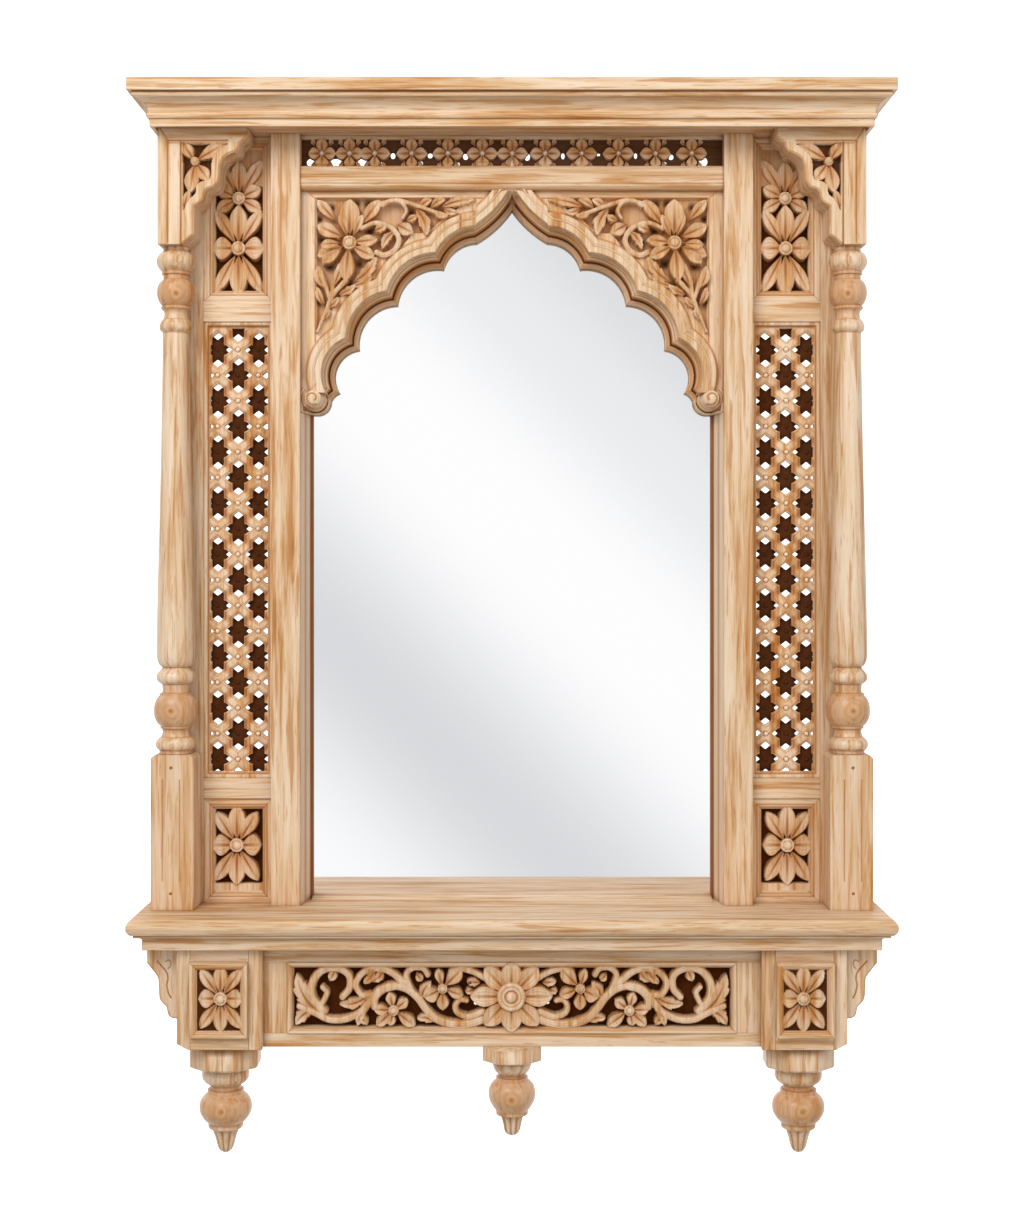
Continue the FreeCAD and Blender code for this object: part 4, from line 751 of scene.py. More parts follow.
def carved_mesh(name, carving, back, flip=False):
    """The solid between a carving and its flat back, with its openings cut through."""
    kept = sum(cell_corners(carving.open)) <= 0
    x, z = snap_to_openings(carving, kept)
    front = carving.forward + carving.height
    sign = -1 if flip else 1
    face = np.stack([sign * x.ravel(), -front.ravel(), z.ravel()], axis=1)
    rear = face.copy()
    rear[:, 1] = -back
    count = len(face)
    points = np.vstack([face, rear, face, rear]) * MM
    index = np.arange(count).reshape(x.shape)
    quads = np.stack([corner[kept] for corner in cell_corners(index)], axis=1)
    start, end = wall_quads(kept, index).T
    walls = np.stack([end, start, start + count, end + count], axis=1) + 2 * count
    faces = np.vstack([quads, quads[:, ::-1] + count, walls])
    if flip:
        faces = faces[:, ::-1]
    used = np.unique(faces)
    renumber = np.zeros(len(points), int)
    renumber[used] = np.arange(len(used))
    mesh = bpy.data.meshes.new(name)
    mesh.from_pydata(points[used].tolist(), [], renumber[faces].tolist())
    shade = np.concatenate([carving.shade.ravel(), np.ones(count)] * 2)
    tone = np.concatenate([carving.tone.ravel(), np.zeros(count)] * 2)
    level = np.tile(carving.level.ravel(), 4)
    plank = np.where(level[:, None], points[:, ::-1], points)
    paint(mesh, plank[used], {"shade": shade[used], "tone": tone[used]})
    return mesh


PLANK_APART = 0.37


def paint(mesh, plank, values):
    """Smooth faces, the place in the plank and the other values of each point of a mesh."""
    mesh.polygons.foreach_set("use_smooth", np.ones(len(mesh.polygons), bool))
    apart = PLANK_APART * len(bpy.data.meshes)
    grain = mesh.attributes.new("grain", "FLOAT_VECTOR", "POINT")
    grain.data.foreach_set("vector", (plank + apart).ravel())
    for label, column in values.items():
        mesh.attributes.new(label, "FLOAT", "POINT").data.foreach_set("value", column)


def woven_mesh(name, points, plank, values, creased, turned=False):
    """A skin over rows and columns of points in millimetres, with hard edges along the creased rows.

    The rows of a turned piece are closed rings, with a cap at both ends. Along a
    moulding the last row joins the first instead.
    """
    rows, columns = points.shape[:2]
    index = np.arange(rows * columns).reshape(rows, columns)
    after = np.roll(index, -1, axis=0)
    beside = np.roll(index, -1, axis=1)
    both_after = np.roll(after, -1, axis=1)
    part = slice(0, rows - turned), slice(0, columns - (not turned))
    corners = [grid[part].ravel() for grid in (index, beside, both_after, after)]
    faces = np.stack(corners, axis=1).tolist()
    if turned:
        faces += [index[0].tolist(), index[-1].tolist()]
    mesh = bpy.data.meshes.new(name)
    mesh.from_pydata((points.reshape(-1, 3) * MM).tolist(), [], faces)
    skin = bmesh.new()
    skin.from_mesh(mesh)
    bmesh.ops.recalc_face_normals(skin, faces=skin.faces)
    skin.to_mesh(mesh)
    skin.free()
    paint(mesh, plank.reshape(-1, 3) * MM, {label: column.ravel() for label, column in values.items()})
    ends = np.empty(2 * len(mesh.edges), int)
    mesh.edges.foreach_get("vertices", ends)
    row = ends.reshape(-1, 2) // columns
    hard = (row[:, 0] == row[:, 1]) & np.isin(row[:, 0], list(creased))
    mesh.attributes.new("sharp_edge", "BOOLEAN", "EDGE").data.foreach_set("value", hard)
    return mesh


def stand_in(name, mesh, material, *nodes):
    """A finished piece that stands for CAD nodes."""
    piece = bpy.data.objects.new(name, mesh)
    mesh.materials.append(material)
    bpy.context.scene.collection.objects.link(piece)
    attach(piece, "frame")
    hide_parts(*nodes)


def node_box(name):
    """Left, right, low and high edges of a CAD node in millimetres, its front and its back."""
    low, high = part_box(name)
    return (low.x / MM, high.x / MM, low.z / MM, high.z / MM), -low.y / MM, -high.y / MM


def carved_piece(name, carving, back, flip, material, node):
    """A carving made solid, in place of a node."""
    stand_in(name, carved_mesh(name, carving, back, flip), material, node)


def carve_pair(stem, carve, material):
    """The same carving on the left and, turned over, on the right."""
    carving, back = carve(stem + "_left")
    for side, flip in SIDES:
        carved_piece(stem + side + "_carved", carving, back, flip, material, stem + side)


def carve_single(node, carve, material):
    """A carving that stands for one node."""
    carving, back = carve(node)
    carved_piece(node + "_carved", carving, back, False, material, node)


def blossom(carving, centre, petals, top, boss, lift=0.0):
    """A flower: outer petals first, each given as the place of its tip and its width."""
    for order, (across, down, width) in enumerate(petals):
        tip = (centre[0] + across, centre[1] + down)
        root = (centre[0] + 0.12 * across, centre[1] + 0.12 * down)
        carving.leaf(root, tip, width, top + lift * order, crest=0.6)
    carving.ball(centre, boss, top + 2.6, ring=boss * 0.55)


def even_sides(petals):
    """Adds the mirrored twin of each petal that doesn't stand on the middle line."""
    whole = []
    for across, down, width in petals:
        whole.append((across, down, width))
        if across:
            whole.append((-across, down, width))
    return whole


# Carved panels beside the glass

UPPER_FLOWER = (238.1, 248.1)
UPPER_PETALS = ((22.8, -38.6, 14), (22.8, 44.2, 14), (25.5, 0, 25), (0, -43.5, 19), (0, 47.9, 19))
CREST_FLOWER = (238.3, 197.8)
CREST_GROUND = 186.0
CREST_PETALS = ((23.0, -38.6, 14), (22.4, 12.0, 14), (22.4, -10.6, 15), (0, -37.9, 17), (0, 30.0, 15))
LOWER_FLOWER = (236.5, 845.4)
LOWER_LEDGE = 883.4
LOWER_PETALS = ((20.5, -33.0, 15), (21.5, 36.0, 15), (24.7, 0, 23), (0, -40.3, 18), (0, 40.3, 18))
BLOCK_FLOWER = (220.1, 999.2)
BLOCK_PETALS = ((20.5, -29.5, 13), (20.5, 30.0, 13), (22.3, 0, 20), (0, -34.0, 15), (0, 34.0, 15))
PANEL_FRAME = 13.3
BLOCK_FRAME = 8.4
PANEL_PIT = 12.0
BLOCK_PIT = 4.0
CREST_DEPTH = 6.0
LEDGE_DEPTH = 4.5
FLOWER_TOP = -0.4
CREST_TOP = -1.6
PANEL_BOSS = 4.6
CREST_BOSS = 4.2
BLOCK_BOSS = 4.4


def framed_panel(node, frame_width, pit, step=0.85):
    """A panel's grid with its border and a sunk ground painted dark as painted shade, ready for its flower.
    """
    box, front, back = node_box(node)
    carving = Carving(box, front, step)
    carving.sink(carving.inset >= frame_width, pit)
    carving.frame(frame_width)
    return carving, back


def upper_panel(node):
    """Two flowers, one over the other, on a ground that is shallow and pale at the top."""
    carving, back = framed_panel(node, PANEL_FRAME, PANEL_PIT)
    # At the top the ground is shallower and given little painted shade, with a light brown tone.
    crest = (carving.shade < 0.5) & (carving.py < CREST_GROUND)
    carving.sink(crest, CREST_DEPTH, 0.9)
    carving.tone[crest] = 0.4
    blossom(carving, CREST_FLOWER, even_sides(CREST_PETALS), CREST_TOP, CREST_BOSS)
    blossom(carving, UPPER_FLOWER, even_sides(UPPER_PETALS), FLOWER_TOP, PANEL_BOSS)
    return carving, back


def lower_panel(node):
    """One flower over a pale ledge."""
    carving, back = framed_panel(node, PANEL_FRAME, PANEL_PIT)
    ledge = (carving.shade < 0.5) & (carving.py > LOWER_LEDGE)
    carving.sink(ledge, LEDGE_DEPTH, 1.0)
    # Painted shade along the ledge's upper edge.
    carving.tone[ledge & (carving.py < LOWER_LEDGE + 0.9)] = 0.6
    blossom(carving, LOWER_FLOWER, even_sides(LOWER_PETALS), FLOWER_TOP, PANEL_BOSS)
    return carving, back


def block_panel(node):
    """One flower on a shallow ground."""
    carving, back = framed_panel(node, BLOCK_FRAME, BLOCK_PIT)
    blossom(carving, BLOCK_FLOWER, even_sides(BLOCK_PETALS), FLOWER_TOP, BLOCK_BOSS)
    return carving, back


# Pierced side screens

SCREEN_COLUMNS = (200.0, 217.85, 238.2, 258.55, 276.4)
SCREEN_PERIOD = 51.14
SCREEN_FIRST = 349.8
STAR_HALF_WIDTH = 14.0
STAR_HALF_HEIGHT = 17.2
BAR_HALF_WIDTH = 6.0
BAR_HALF_HEIGHT = 4.9
BAR_COSINE = 0.78
BAR_SINE = 0.62
PETAL_REACH = 10.5
PETAL_RISE = 2.6
PIN_RADIUS = 1.9
PIN_RISE = 2.0
SCREEN_BORDER = 7.0
SCREEN_RECESS = 5.0
FRONT_LATTICE_BACK = 4.5
REAR_LATTICE_FRONT = 1.6
REAR_LATTICE_GAP = 0.4
REAR_BORDER = 2.0
REAR_TIGHTER = 1.1


def star_field(across, up):
    """How far inside a pierced star a point lies, in pixels: two pointed bars that cross."""
    across = np.abs(across)
    up = np.abs(up)
    upright = np.minimum(BAR_HALF_WIDTH - across, (STAR_HALF_HEIGHT - up) * BAR_COSINE - across * BAR_SINE)
    level = np.minimum(BAR_HALF_HEIGHT - up, (STAR_HALF_WIDTH - across) * BAR_SINE - up * BAR_COSINE)
    return np.maximum(upright, level)


def screen_fields(carving, shift):
    """Depth inside the nearest star, and distance to the nearest crossing, over a screen."""
    stars = np.full(carving.px.shape, CLOSED)
    crossings = np.full(carving.px.shape, FAR)
    half = SCREEN_PERIOD / 2
    for number, middle in enumerate(SCREEN_COLUMNS):
        across = carving.px - middle
        down = carving.py - SCREEN_FIRST - shift - half * (number % 2 == 0)
        stars = np.maximum(stars, star_field(across, (down + half) % SCREEN_PERIOD - half))
        crossings = np.minimum(crossings, np.hypot(across, down % SCREEN_PERIOD - half))
    return stars, crossings


def screen_layer(box, forward, shift, border, tighter=0.0):
    """One lattice of the screen: pillowed petals about each crossing, a pin in each, stars cut through."""
    carving = Carving(box, forward, 1.0)
    stars, crossings = screen_fields(carving, shift)
    stars = stars - tighter
    carving.open = np.minimum(stars * carving.pixel, carving.inset - border)
    swell = ridge(crossings, 0.0, PETAL_REACH)
    height = PETAL_RISE * swell - 1.2 * smooth(stars, -2.2, 0.0)
    # Tone: painted shade low between the crossings, along the cut edges of the stars and in the ring round
    # each pin; the pins are pale.
    tone = 0.62 * (1 - smooth(swell, 0.10, 0.36)) + 0.55 * ridge(stars, -1.9, 0.7)
    pin = crossings < PIN_RADIUS
    dome = np.sqrt(np.clip(1 - (crossings / PIN_RADIUS) ** 2, 0, 1))
    ring = ridge(crossings, 2.5, 0.55)
    carving.height = np.where(pin, PETAL_RISE + PIN_RISE * dome, height - 0.9 * ring)
    carving.tone = np.where(pin, -0.9, np.clip(tone + ring, 0, 1))
    return carving


def screen_front(node):
    """The front lattice inside its moulded border."""
    box, front, back = node_box(node)
    carving = screen_layer(box, front - SCREEN_RECESS, 0.0, SCREEN_BORDER)
    bevel = smooth(carving.inset, SCREEN_BORDER * 0.45, SCREEN_BORDER)
    edge = carving.inset < SCREEN_BORDER
    carving.height = np.where(edge, SCREEN_RECESS * (1 - bevel), carving.height)
    # Tone: painted shade down the border's bevel.
    carving.tone = np.where(edge, 3.2 * bevel * (1 - bevel), carving.tone)
    return carving, back + FRONT_LATTICE_BACK


def screen_rear(node):
    """The second lattice behind, half a star lower, so that its crossings fill the stars."""
    (left, right, low, high), _, back = node_box(node)
    gap = REAR_LATTICE_GAP
    inner = (left + gap, right - gap, low + gap, high - gap)
    carving = screen_layer(inner, back + REAR_LATTICE_FRONT, SCREEN_PERIOD / 2, REAR_BORDER, REAR_TIGHTER)
    # The whole rear lattice is painted near-black, as painted shade.
    carving.shade[:] = 0.02
    carving.tone = np.maximum(carving.tone, 0)
    return carving, back


def side_screens(material):
    """Both screens, each of two lattices."""
    layers = (("_front_lattice", screen_front("jali_left")), ("_rear_lattice", screen_rear("jali_left")))
    for side, flip in SIDES:
        node = "jali" + side
        for layer, (carving, back) in layers:
            carved_piece(node + layer, carving, back, flip, material, node)


# Spandrels over the arch

SPANDREL_FLOWER = (349.7, 243.3)
SPANDREL_PETALS = (
    ((336, 222), (317.5, 200.3), 12),
    ((361, 226), (380.5, 200.3), 14),
    ((350, 236), (350.0, 199.5), 22),
    ((344, 238), (317.0, 226.0), 16),
    ((344, 247), (317.5, 256.5), 16),
    ((348, 238), (340.0, 213.5), 9),
    ((353, 238), (363.0, 215.0), 9),
    ((353, 243), (378.0, 240.5), 13),
    ((352, 247), (375.0, 258.0), 14),
    ((349, 248), (346.0, 282.0), 17),
    ((343, 249), (322.0, 264.0), 12),
    ((341, 244), (320.5, 246.0), 11),
)
SPANDREL_STEMS = (
    (((383, 206), (391, 201.3), (401, 203), (406.5, 211), (403, 219)), 5.5, 3.5),
    (((382, 204), (398, 201), (415.6, 206), (430, 211), (446, 216.5)), 5.0, 4.5),
    (((362, 229), (376, 223.5), (391, 228), (399, 239), (395.3, 250), (385, 255.8), (377, 253)), 5.0, 6.5),
    (((346, 281), (333, 296), (325.5, 313), (317.8, 332.5)), 6.0, 3.0),
    (((330, 300), (326, 287), (322, 276)), 4.0, 6.0),
    (((332, 297), (334, 280), (340, 266)), 4.0, 5.0),
)
SPANDREL_LEAVES = (
    ((397, 225), (413.0, 234.0), 15, 0, 0.0),
    ((415, 208), (427.5, 236.5), 15, 3, -0.10),
    ((406, 222), (418.0, 216.5), 8, 0, 0.0),
    ((374, 232), (387.0, 226.0), 12, 2, 0.0),
    ((397, 231), (382.0, 250.0), 11, 4, 0.12),
    ((419, 210), (432.5, 199.8), 9, 0, -0.1),
    ((430, 209), (446.0, 199.8), 9, 0, -0.1),
    ((432, 211), (449.0, 217.0), 8, 0, 0.1),
    ((443, 209), (458.5, 213.2), 8, 0, 0.1),
    ((440, 208), (476.0, 200.0), 13, 5, -0.05),
    ((353, 283), (377.0, 257.0), 14, 4, 0.10),
    ((350, 287), (373.0, 277.0), 9, 3, 0.10),
    ((338, 295), (356.0, 285.5), 10, 3, 0.08),
    ((328, 308), (339.0, 297.5), 9, 2, 0.10),
    ((327, 290), (318.0, 266.0), 12, 0, -0.10),
    ((333, 288), (341.5, 262.0), 9, 2, 0.05),
    ((325, 306), (317.5, 287.0), 8, 0, -0.08),
    ((322, 322), (330.0, 308.0), 6, 0, 0.08),
)
SPANDREL_POCKET = [
    (316.5, 198.5), (474, 198.5), (448, 214), (427, 233), (412, 233), (398, 252),
    (377, 255), (370, 276), (338, 298), (318, 330), (316.5, 330),
]
FOILS = (
    (-41.0, 747.5, 41.6),
    (-88.7, 710.2, 47.8),
    (-136.0, 667.9, 46.6),
    (-178.3, 628.5, 32.8),
)
SPANDREL_PITS = (
    (369.1, 229.8, 4.5), (320.9, 238.9, 4.5), (328.9, 265.5, 4.5), (358.7, 263.0, 4.5), (382.8, 242.1, 3.5),
    (342.6, 268.0, 4.0), (368.0, 203.5, 4.5), (356.0, 203.0, 3.5), (331.0, 207.0, 3.0), (319.0, 218.0, 3.0),
    (320.0, 300.0, 3.5), (348.0, 283.0, 3.0), (404.0, 227.0, 2.5), (411.0, 212.0, 3.0), (366.0, 250.0, 2.5),
)
CROWN = (-107.2, 902.7, 130.9)
CROWN_HALF_WIDTH = 42.0
OPENING_CORE = [(-190.0, 560.0), (5.0, 560.0), (5.0, 747.5)]
ARCH_SEAT = 12.0
BAND_RISE = 6.6
BAND_EDGE = (27.0, 29.2)
BAND_LINE = 27.6
GROUND_LINE = 29.8
LEVEL_FROM = 29.0
BORDER_LINE = 0.8
SPANDREL_BOSS = 4.4
SPANDREL_RING = 2.8
POCKET_FROM = 31.0
POCKET_DEPTH = 7.0
POCKET_SHADE = 0.94
PIT_DEPTH = 4.0
PIT_PAINTED_SHADE = 0.92
SPANDREL_GROUND = 72.0
SPANDREL_CORNER = (315.2, 198.2)
SPANDREL_MITRE = (308.0, 192.3)
SPANDREL_MITRE_SLOPE = 0.88
STEM_TOP = 6.2
ACANTHUS_TOP = 6.6
PETAL_TOP = 6.0
PETAL_LIFT = 0.22


def into_wood(x, z):
    """Distance from the arch's edge into the wood, less than 0 inside the opening."""
    field = np.full(x.shape, FAR)
    for across, up, radius in FOILS:
        field = np.minimum(field, np.hypot(x - across, z - up) - radius)
    crown = CROWN[2] - np.hypot(x - CROWN[0], z - CROWN[1])
    field = np.minimum(field, np.where(x > -CROWN_HALF_WIDTH, crown, FAR))
    core = [foil[:2] for foil in FOILS] + OPENING_CORE
    return np.where(inside_polygon(x, z, core), -9.0, field)


def spandrel_ground(carving, pocket):
    """The sunk ground, given a little painted shade and a light brown tone, with pits beside the leaves where
    painted shade and depth grow.
    """
    carving.sink(pocket, POCKET_DEPTH, POCKET_SHADE)
    carving.tone[pocket] = 0.36
    for across, down, reach in SPANDREL_PITS:
        near = ridge(carving.reach((across, down)) / reach, 0.0, 1.25)
        shade = np.minimum(carving.shade, POCKET_SHADE - PIT_PAINTED_SHADE * near)
        height = np.minimum(carving.height, -POCKET_DEPTH - PIT_DEPTH * near)
        carving.shade = np.where(pocket, shade, carving.shade)
        carving.height = np.where(pocket, height, carving.height)


def spandrel_border(carving, into, pocket):
    """The flat border's inner line, its mitre, and where its grain runs level."""
    across = carving.px - SPANDREL_CORNER[0]
    down = carving.py - SPANDREL_CORNER[1]
    slant = SPANDREL_MITRE_SLOPE * (carving.px - SPANDREL_MITRE[0])
    below_mitre = carving.py - SPANDREL_MITRE[1] - slant
    carving.level = (down < 0) & (into > LEVEL_FROM) & (below_mitre < 0)
    line = np.minimum(np.abs(across), np.abs(down)) < BORDER_LINE
    line &= (across > -0.7) & (down > -0.7) & ~pocket & (into > POCKET_FROM)
    line |= (np.abs(below_mitre) < 0.6) & (across < 0)
    # Painted shade in the border's inner line and its mitre.
    carving.tone[line] = 0.8


def spandrel(node):
    """The corner over the arch: a flower, scrolls and acanthus on a sunk ground with a flat border."""
    box, front, back = node_box(node)
    carving = Carving(box, SPANDREL_GROUND, 0.8)
    into = into_wood(carving.x, carving.z)
    carving.open = ARCH_SEAT - into
    carving.height = BAND_RISE * (1 - smooth(into, *BAND_EDGE))
    # Tone: painted shade in the lines at the band's foot and along the ground's edge.
    carving.tone = 0.5 * ridge(into, BAND_LINE, 0.5) + 0.8 * ridge(into, GROUND_LINE, 0.7)
    pocket = inside_polygon(carving.px, carving.py, SPANDREL_POCKET) & (into > POCKET_FROM)
    spandrel_ground(carving, pocket)
    spandrel_border(carving, into, pocket)
    for points, width, end_width in SPANDREL_STEMS:
        carving.stroke(points, width, STEM_TOP, end_width)
    for root, tip, width, teeth, bend in SPANDREL_LEAVES:
        carving.leaf(root, tip, width, ACANTHUS_TOP, bend, teeth)
    for order, (root, tip, width) in enumerate(SPANDREL_PETALS):
        carving.leaf(root, tip, width, PETAL_TOP + PETAL_LIFT * order, crest=0.6)
    carving.ball(SPANDREL_FLOWER, SPANDREL_BOSS, front - SPANDREL_GROUND, ring=SPANDREL_RING)
    return carving, back


# Apron under the shelf

ROSETTE = (511.4, 997.6)
ROSETTE_PETALS = (
    (27.0, -28.6, 21), (27.0, 29.4, 21), (41.6, 0.0, 22), (0.0, -35.6, 22), (0.0, 36.2, 22),
)
VINE_STEMS = (
    (((536, 981), (549, 973.9), (562, 970.6), (572, 973)), 6.0, 5.0),
    (((536, 1020), (556, 1026), (574, 1025.4), (588, 1020), (597, 1011), (606, 999), (617, 990.5),
     (631, 987.6), (644, 992), (653, 1003), (663, 1013.5), (677.5, 1020.8), (694, 1021.4), (708, 1015),
     (724, 1008)), 8.0, 6.0),
    (((540, 1013), (554, 1018.4), (565, 1015), (567.7, 1008), (563, 1001.6), (556.4, 1002.4)), 6.5, 4.5),
    (((612, 992), (617, 977), (610, 969.6), (600, 970.4), (595.5, 976.5)), 5.5, 5.0),
    (((619, 985), (632, 974), (645.5, 970.2), (659.6, 974), (667.6, 985.5), (662, 996.5), (653, 996.4)),
     7.0, 5.0),
    (((681, 999), (674, 990), (675, 976.5), (688, 969.6), (702.5, 973), (711.4, 985), (711, 1000),
     (700, 1013)), 6.0, 7.5),
    (((704, 1010), (699, 1001), (697, 994), (701, 989)), 5.0, 4.5),
    (((628, 988.5), (640, 992), (648, 1000), (649, 1009)), 6.0, 6.0),
)
VINE_LEAVES = (
    ((542, 984.6), (556.5, 983.2), 9, 2, 0.0),
    ((549, 992.0), (558.0, 993.6), 6, 0, 0.0),
    ((588, 1024.0), (606.5, 1020.0), 9, 2, -0.12),
    ((602, 1001), (592.5, 984.0), 9, 0, 0.10),
    ((607, 975), (601.0, 983.0), 7, 0, 0.0),
    ((640, 972), (651.0, 983.5), 9, 2, 0.10),
    ((648, 971), (660.0, 985.5), 9, 2, 0.08),
    ((654, 1005), (666.0, 1028.0), 10, 3, -0.10),
    ((655, 998), (684.5, 1006.0), 11, 3, 0.10),
    ((688, 971), (693.5, 983.0), 8, 0, 0.0),
    ((706, 1015), (727.5, 976.0), 15, 4, 0.08),
    ((711, 1012), (728.5, 1026.0), 12, 3, -0.10),
    ((664, 1015), (656.0, 1027.0), 7, 0, 0.0),
)
VINE_FLOWERS = (
    ((580.5, 990.2), ((-19.0, -19.6, 16), (5.0, -20.0, 10), (18.6, 9.4, 18), (-0.3, 22.0, 13),
     (-21.0, 7.2, 12)), 3.2),
    ((629.6, 1012.0), ((-14.0, -10.6, 12), (4.4, -18.0, 11), (20.2, -1.0, 12), (17.6, 15.8, 12),
     (-21.8, 15.8, 13), (4.0, 16.0, 10)), 3.4),
)
SPY_HOLES = ((548.0, 1007.2, 1.7), (475.4, 1007.6, 2.0), (469.6, 984.2, 1.8))
APRON_FRAME = 6.5
APRON_FACE = 139.0
APRON_PIT = 15.0
VINE_TOP = -1.0
VINE_FLOWER_TOP = 0.2
ROSETTE_BOSS = 5.3
ROSETTE_BEADS = 22
ROSETTE_PETAL_DROP = 3.4
COLLAR_RADIUS = 12.2
COLLAR_REACH = 14.6
COLLAR_DROP = 2.2
INNER_RING = 8.2
BOSS_PROUD = 0.4


def turned_over(points):
    """The same places on the other side of the middle line."""
    return tuple((2 * ROSETTE[0] - across, down) for across, down in points)


def apron_side(carving, flip):
    """The vine, leaves and small flowers of one half."""
    place = turned_over if flip else tuple
    sign = -1 if flip else 1
    for points, width, end_width in VINE_STEMS:
        carving.stroke(place(points), 1.2 * width, VINE_TOP, 1.25 * end_width, ribs=2.0)
    for root, tip, width, teeth, bend in VINE_LEAVES:
        carving.leaf(*place((root, tip)), 1.25 * width, FLOWER_TOP, sign * bend, teeth)
    for centre, petals, boss in VINE_FLOWERS:
        sided = [(sign * across, down, width) for across, down, width in petals]
        blossom(carving, place((centre,))[0], sided, VINE_FLOWER_TOP, boss)


def rosette(carving, top):
    """The large middle flower: eight petals in two rings, a beaded collar, and a ringed boss."""
    petals = even_sides(ROSETTE_PETALS)
    blossom(carving, ROSETTE, petals, top - ROSETTE_PETAL_DROP, ROSETTE_BOSS, lift=0.15)
    place = carving.near([ROSETTE], COLLAR_REACH)
    turn = np.arctan2(carving.py[place] - ROSETTE[1], carving.px[place] - ROSETTE[0])
    reach = carving.reach(ROSETTE)[place]
    beads = 0.5 + 0.5 * np.cos(turn * ROSETTE_BEADS)
    collar = ridge(reach, COLLAR_RADIUS, 1.7) * (1.5 + 0.7 * beads) + ridge(reach, INNER_RING, 1.1) * 1.4
    # Tone: painted shade in the collar's hollows.
    tone = np.clip(1.1 - collar, 0, 1) * 0.8
    carving.raise_to(place, reach < COLLAR_REACH, top - COLLAR_DROP + collar, tone)
    carving.ball(ROSETTE, ROSETTE_BOSS, top + BOSS_PROUD)


def apron(node):
    """The pierced apron panel with its vine and rosette."""
    carving, back = framed_panel(node, APRON_FRAME, 1.0, 0.8)
    rise = carving.forward - APRON_FACE
    carving.forward = APRON_FACE
    # The ground between the carving is sunk deep and painted near-black, as painted shade.
    carving.sink(carving.shade == 0, APRON_PIT)
    for _, flip in SIDES:
        apron_side(carving, flip)
    rosette(carving, rise)
    for across, down, radius in SPY_HOLES:
        hole = (radius - carving.reach((across, down))) * carving.pixel
        carving.open = np.maximum(carving.open, hole)
    return carving, back


# Frieze under the cornice

FRIEZE_FLOWERS = (321.8, 349.3, 374.6, 411.6, 447.8, 482.2, 512.2, 545.1, 581.7, 618.3, 655.5, 691.7)
FRIEZE_MIDDLE = 153.0
FRIEZE_FANS = (0, 5, 6, 7, 8)
FRIEZE_RECESS = 2.2
FRIEZE_PIT = 5.4
FRIEZE_CORNER_LEAVES = (((7.0, -6.8), (10.0, -14.0), 5.4), ((7.2, 6.6), (9.2, 14.0), 4.8))
CORNER_LEAF_TOP = -2.2
FRIEZE_LOBE = ((0.6, 0.0), 13.4, 0.2, 0.55)
FRIEZE_LOBE_REACHES = (14.0, 14.0) + 10 * (15.6,)
FRIEZE_LOWER = ((0.0, 0.6), (0.0, 14.6))
FRIEZE_TOP = ((0.0, -0.6), (0.0, -15.6))
FAN_WIDTH = 15.0
LOWER_WIDTH = 11.6
TOP_WIDTH = 12.4
FRIEZE_BOSS = 1.6
FRIEZE_BAND = (-13.4, 12.8)
FRIEZE_WINDOWS = (
    (311.0, 162.0, 4.6, 4.0), (335.8, 161.8, 6.0, 3.6), (362.0, 161.8, 6.2, 3.6), (392.8, 155.2, 2.3, 2.9),
    (382.4, 163.2, 2.4, 2.2), (420.3, 162.8, 2.5, 2.4), (430.0, 155.0, 2.4, 2.4), (465.6, 156.0, 2.6, 2.9),
    (458.0, 163.4, 1.6, 1.8), (527.2, 156.4, 2.8, 3.4), (563.0, 155.4, 1.7, 2.9), (598.4, 154.0, 1.8, 1.2),
    (635.8, 155.2, 1.5, 2.7), (664.4, 163.2, 2.5, 2.2), (671.2, 156.4, 2.6, 2.6), (703.6, 161.0, 4.2, 4.6),
)


def frieze_flower(carving, middle, fan, wide):
    """Two round side lobes, a pointed top petal, a lower petal and four corner leaves."""
    def petal(root, tip, width, top, crest, veins=2.5, sign=1):
        ends = [(middle + sign * across, FRIEZE_MIDDLE + down) for across, down in (root, tip)]
        carving.leaf(*ends, width, top, crest=crest, veins=veins)

    for sign in (-1, 1):
        for root, tip, width in FRIEZE_CORNER_LEAVES:
            petal(root, tip, width, CORNER_LEAF_TOP, 0.7, 1.5, sign)
    lobe_root, lobe_width, lobe_top, lobe_crest = FRIEZE_LOBE
    for sign in (-1, 1):
        petal(lobe_root, (wide, 0.4), lobe_width, lobe_top, lobe_crest, sign=sign)
    petal(*FRIEZE_LOWER, FAN_WIDTH if fan else LOWER_WIDTH, 1.4, 0.66)
    petal(*FRIEZE_TOP, TOP_WIDTH, 1.8, 0.52)
    centre = (middle, FRIEZE_MIDDLE)
    carving.ball(centre, FRIEZE_BOSS, 2.2, ring=1.0)
    carving.tone[carving.reach(centre) < 1.5] = -1.0


def frieze(node):
    """The row of four-petalled flowers, with the ground pierced between them."""
    box, front, back = node_box(node)
    carving = Carving(box, front - FRIEZE_RECESS, 0.7)
    above, below = FRIEZE_BAND
    rail = (carving.py < FRIEZE_MIDDLE + above) | (carving.py > FRIEZE_MIDDLE + below)
    # Between the rails the ground is sunk and painted near-black, as painted shade.
    carving.sink(~rail, FRIEZE_PIT, 0.06)
    carving.level[:] = True
    for number, (middle, wide) in enumerate(zip(FRIEZE_FLOWERS, FRIEZE_LOBE_REACHES)):
        frieze_flower(carving, middle, number in FRIEZE_FANS, wide)
    for across, down, half_width, half_height in FRIEZE_WINDOWS:
        shape = np.hypot((carving.px - across) / half_width, (carving.py - down) / half_height)
        hole = (1 - shape) * min(half_width, half_height) * carving.pixel
        carving.open = np.maximum(carving.open, np.where(carving.shade < 0.5, hole, CLOSED))
    return carving, back


# Capitals

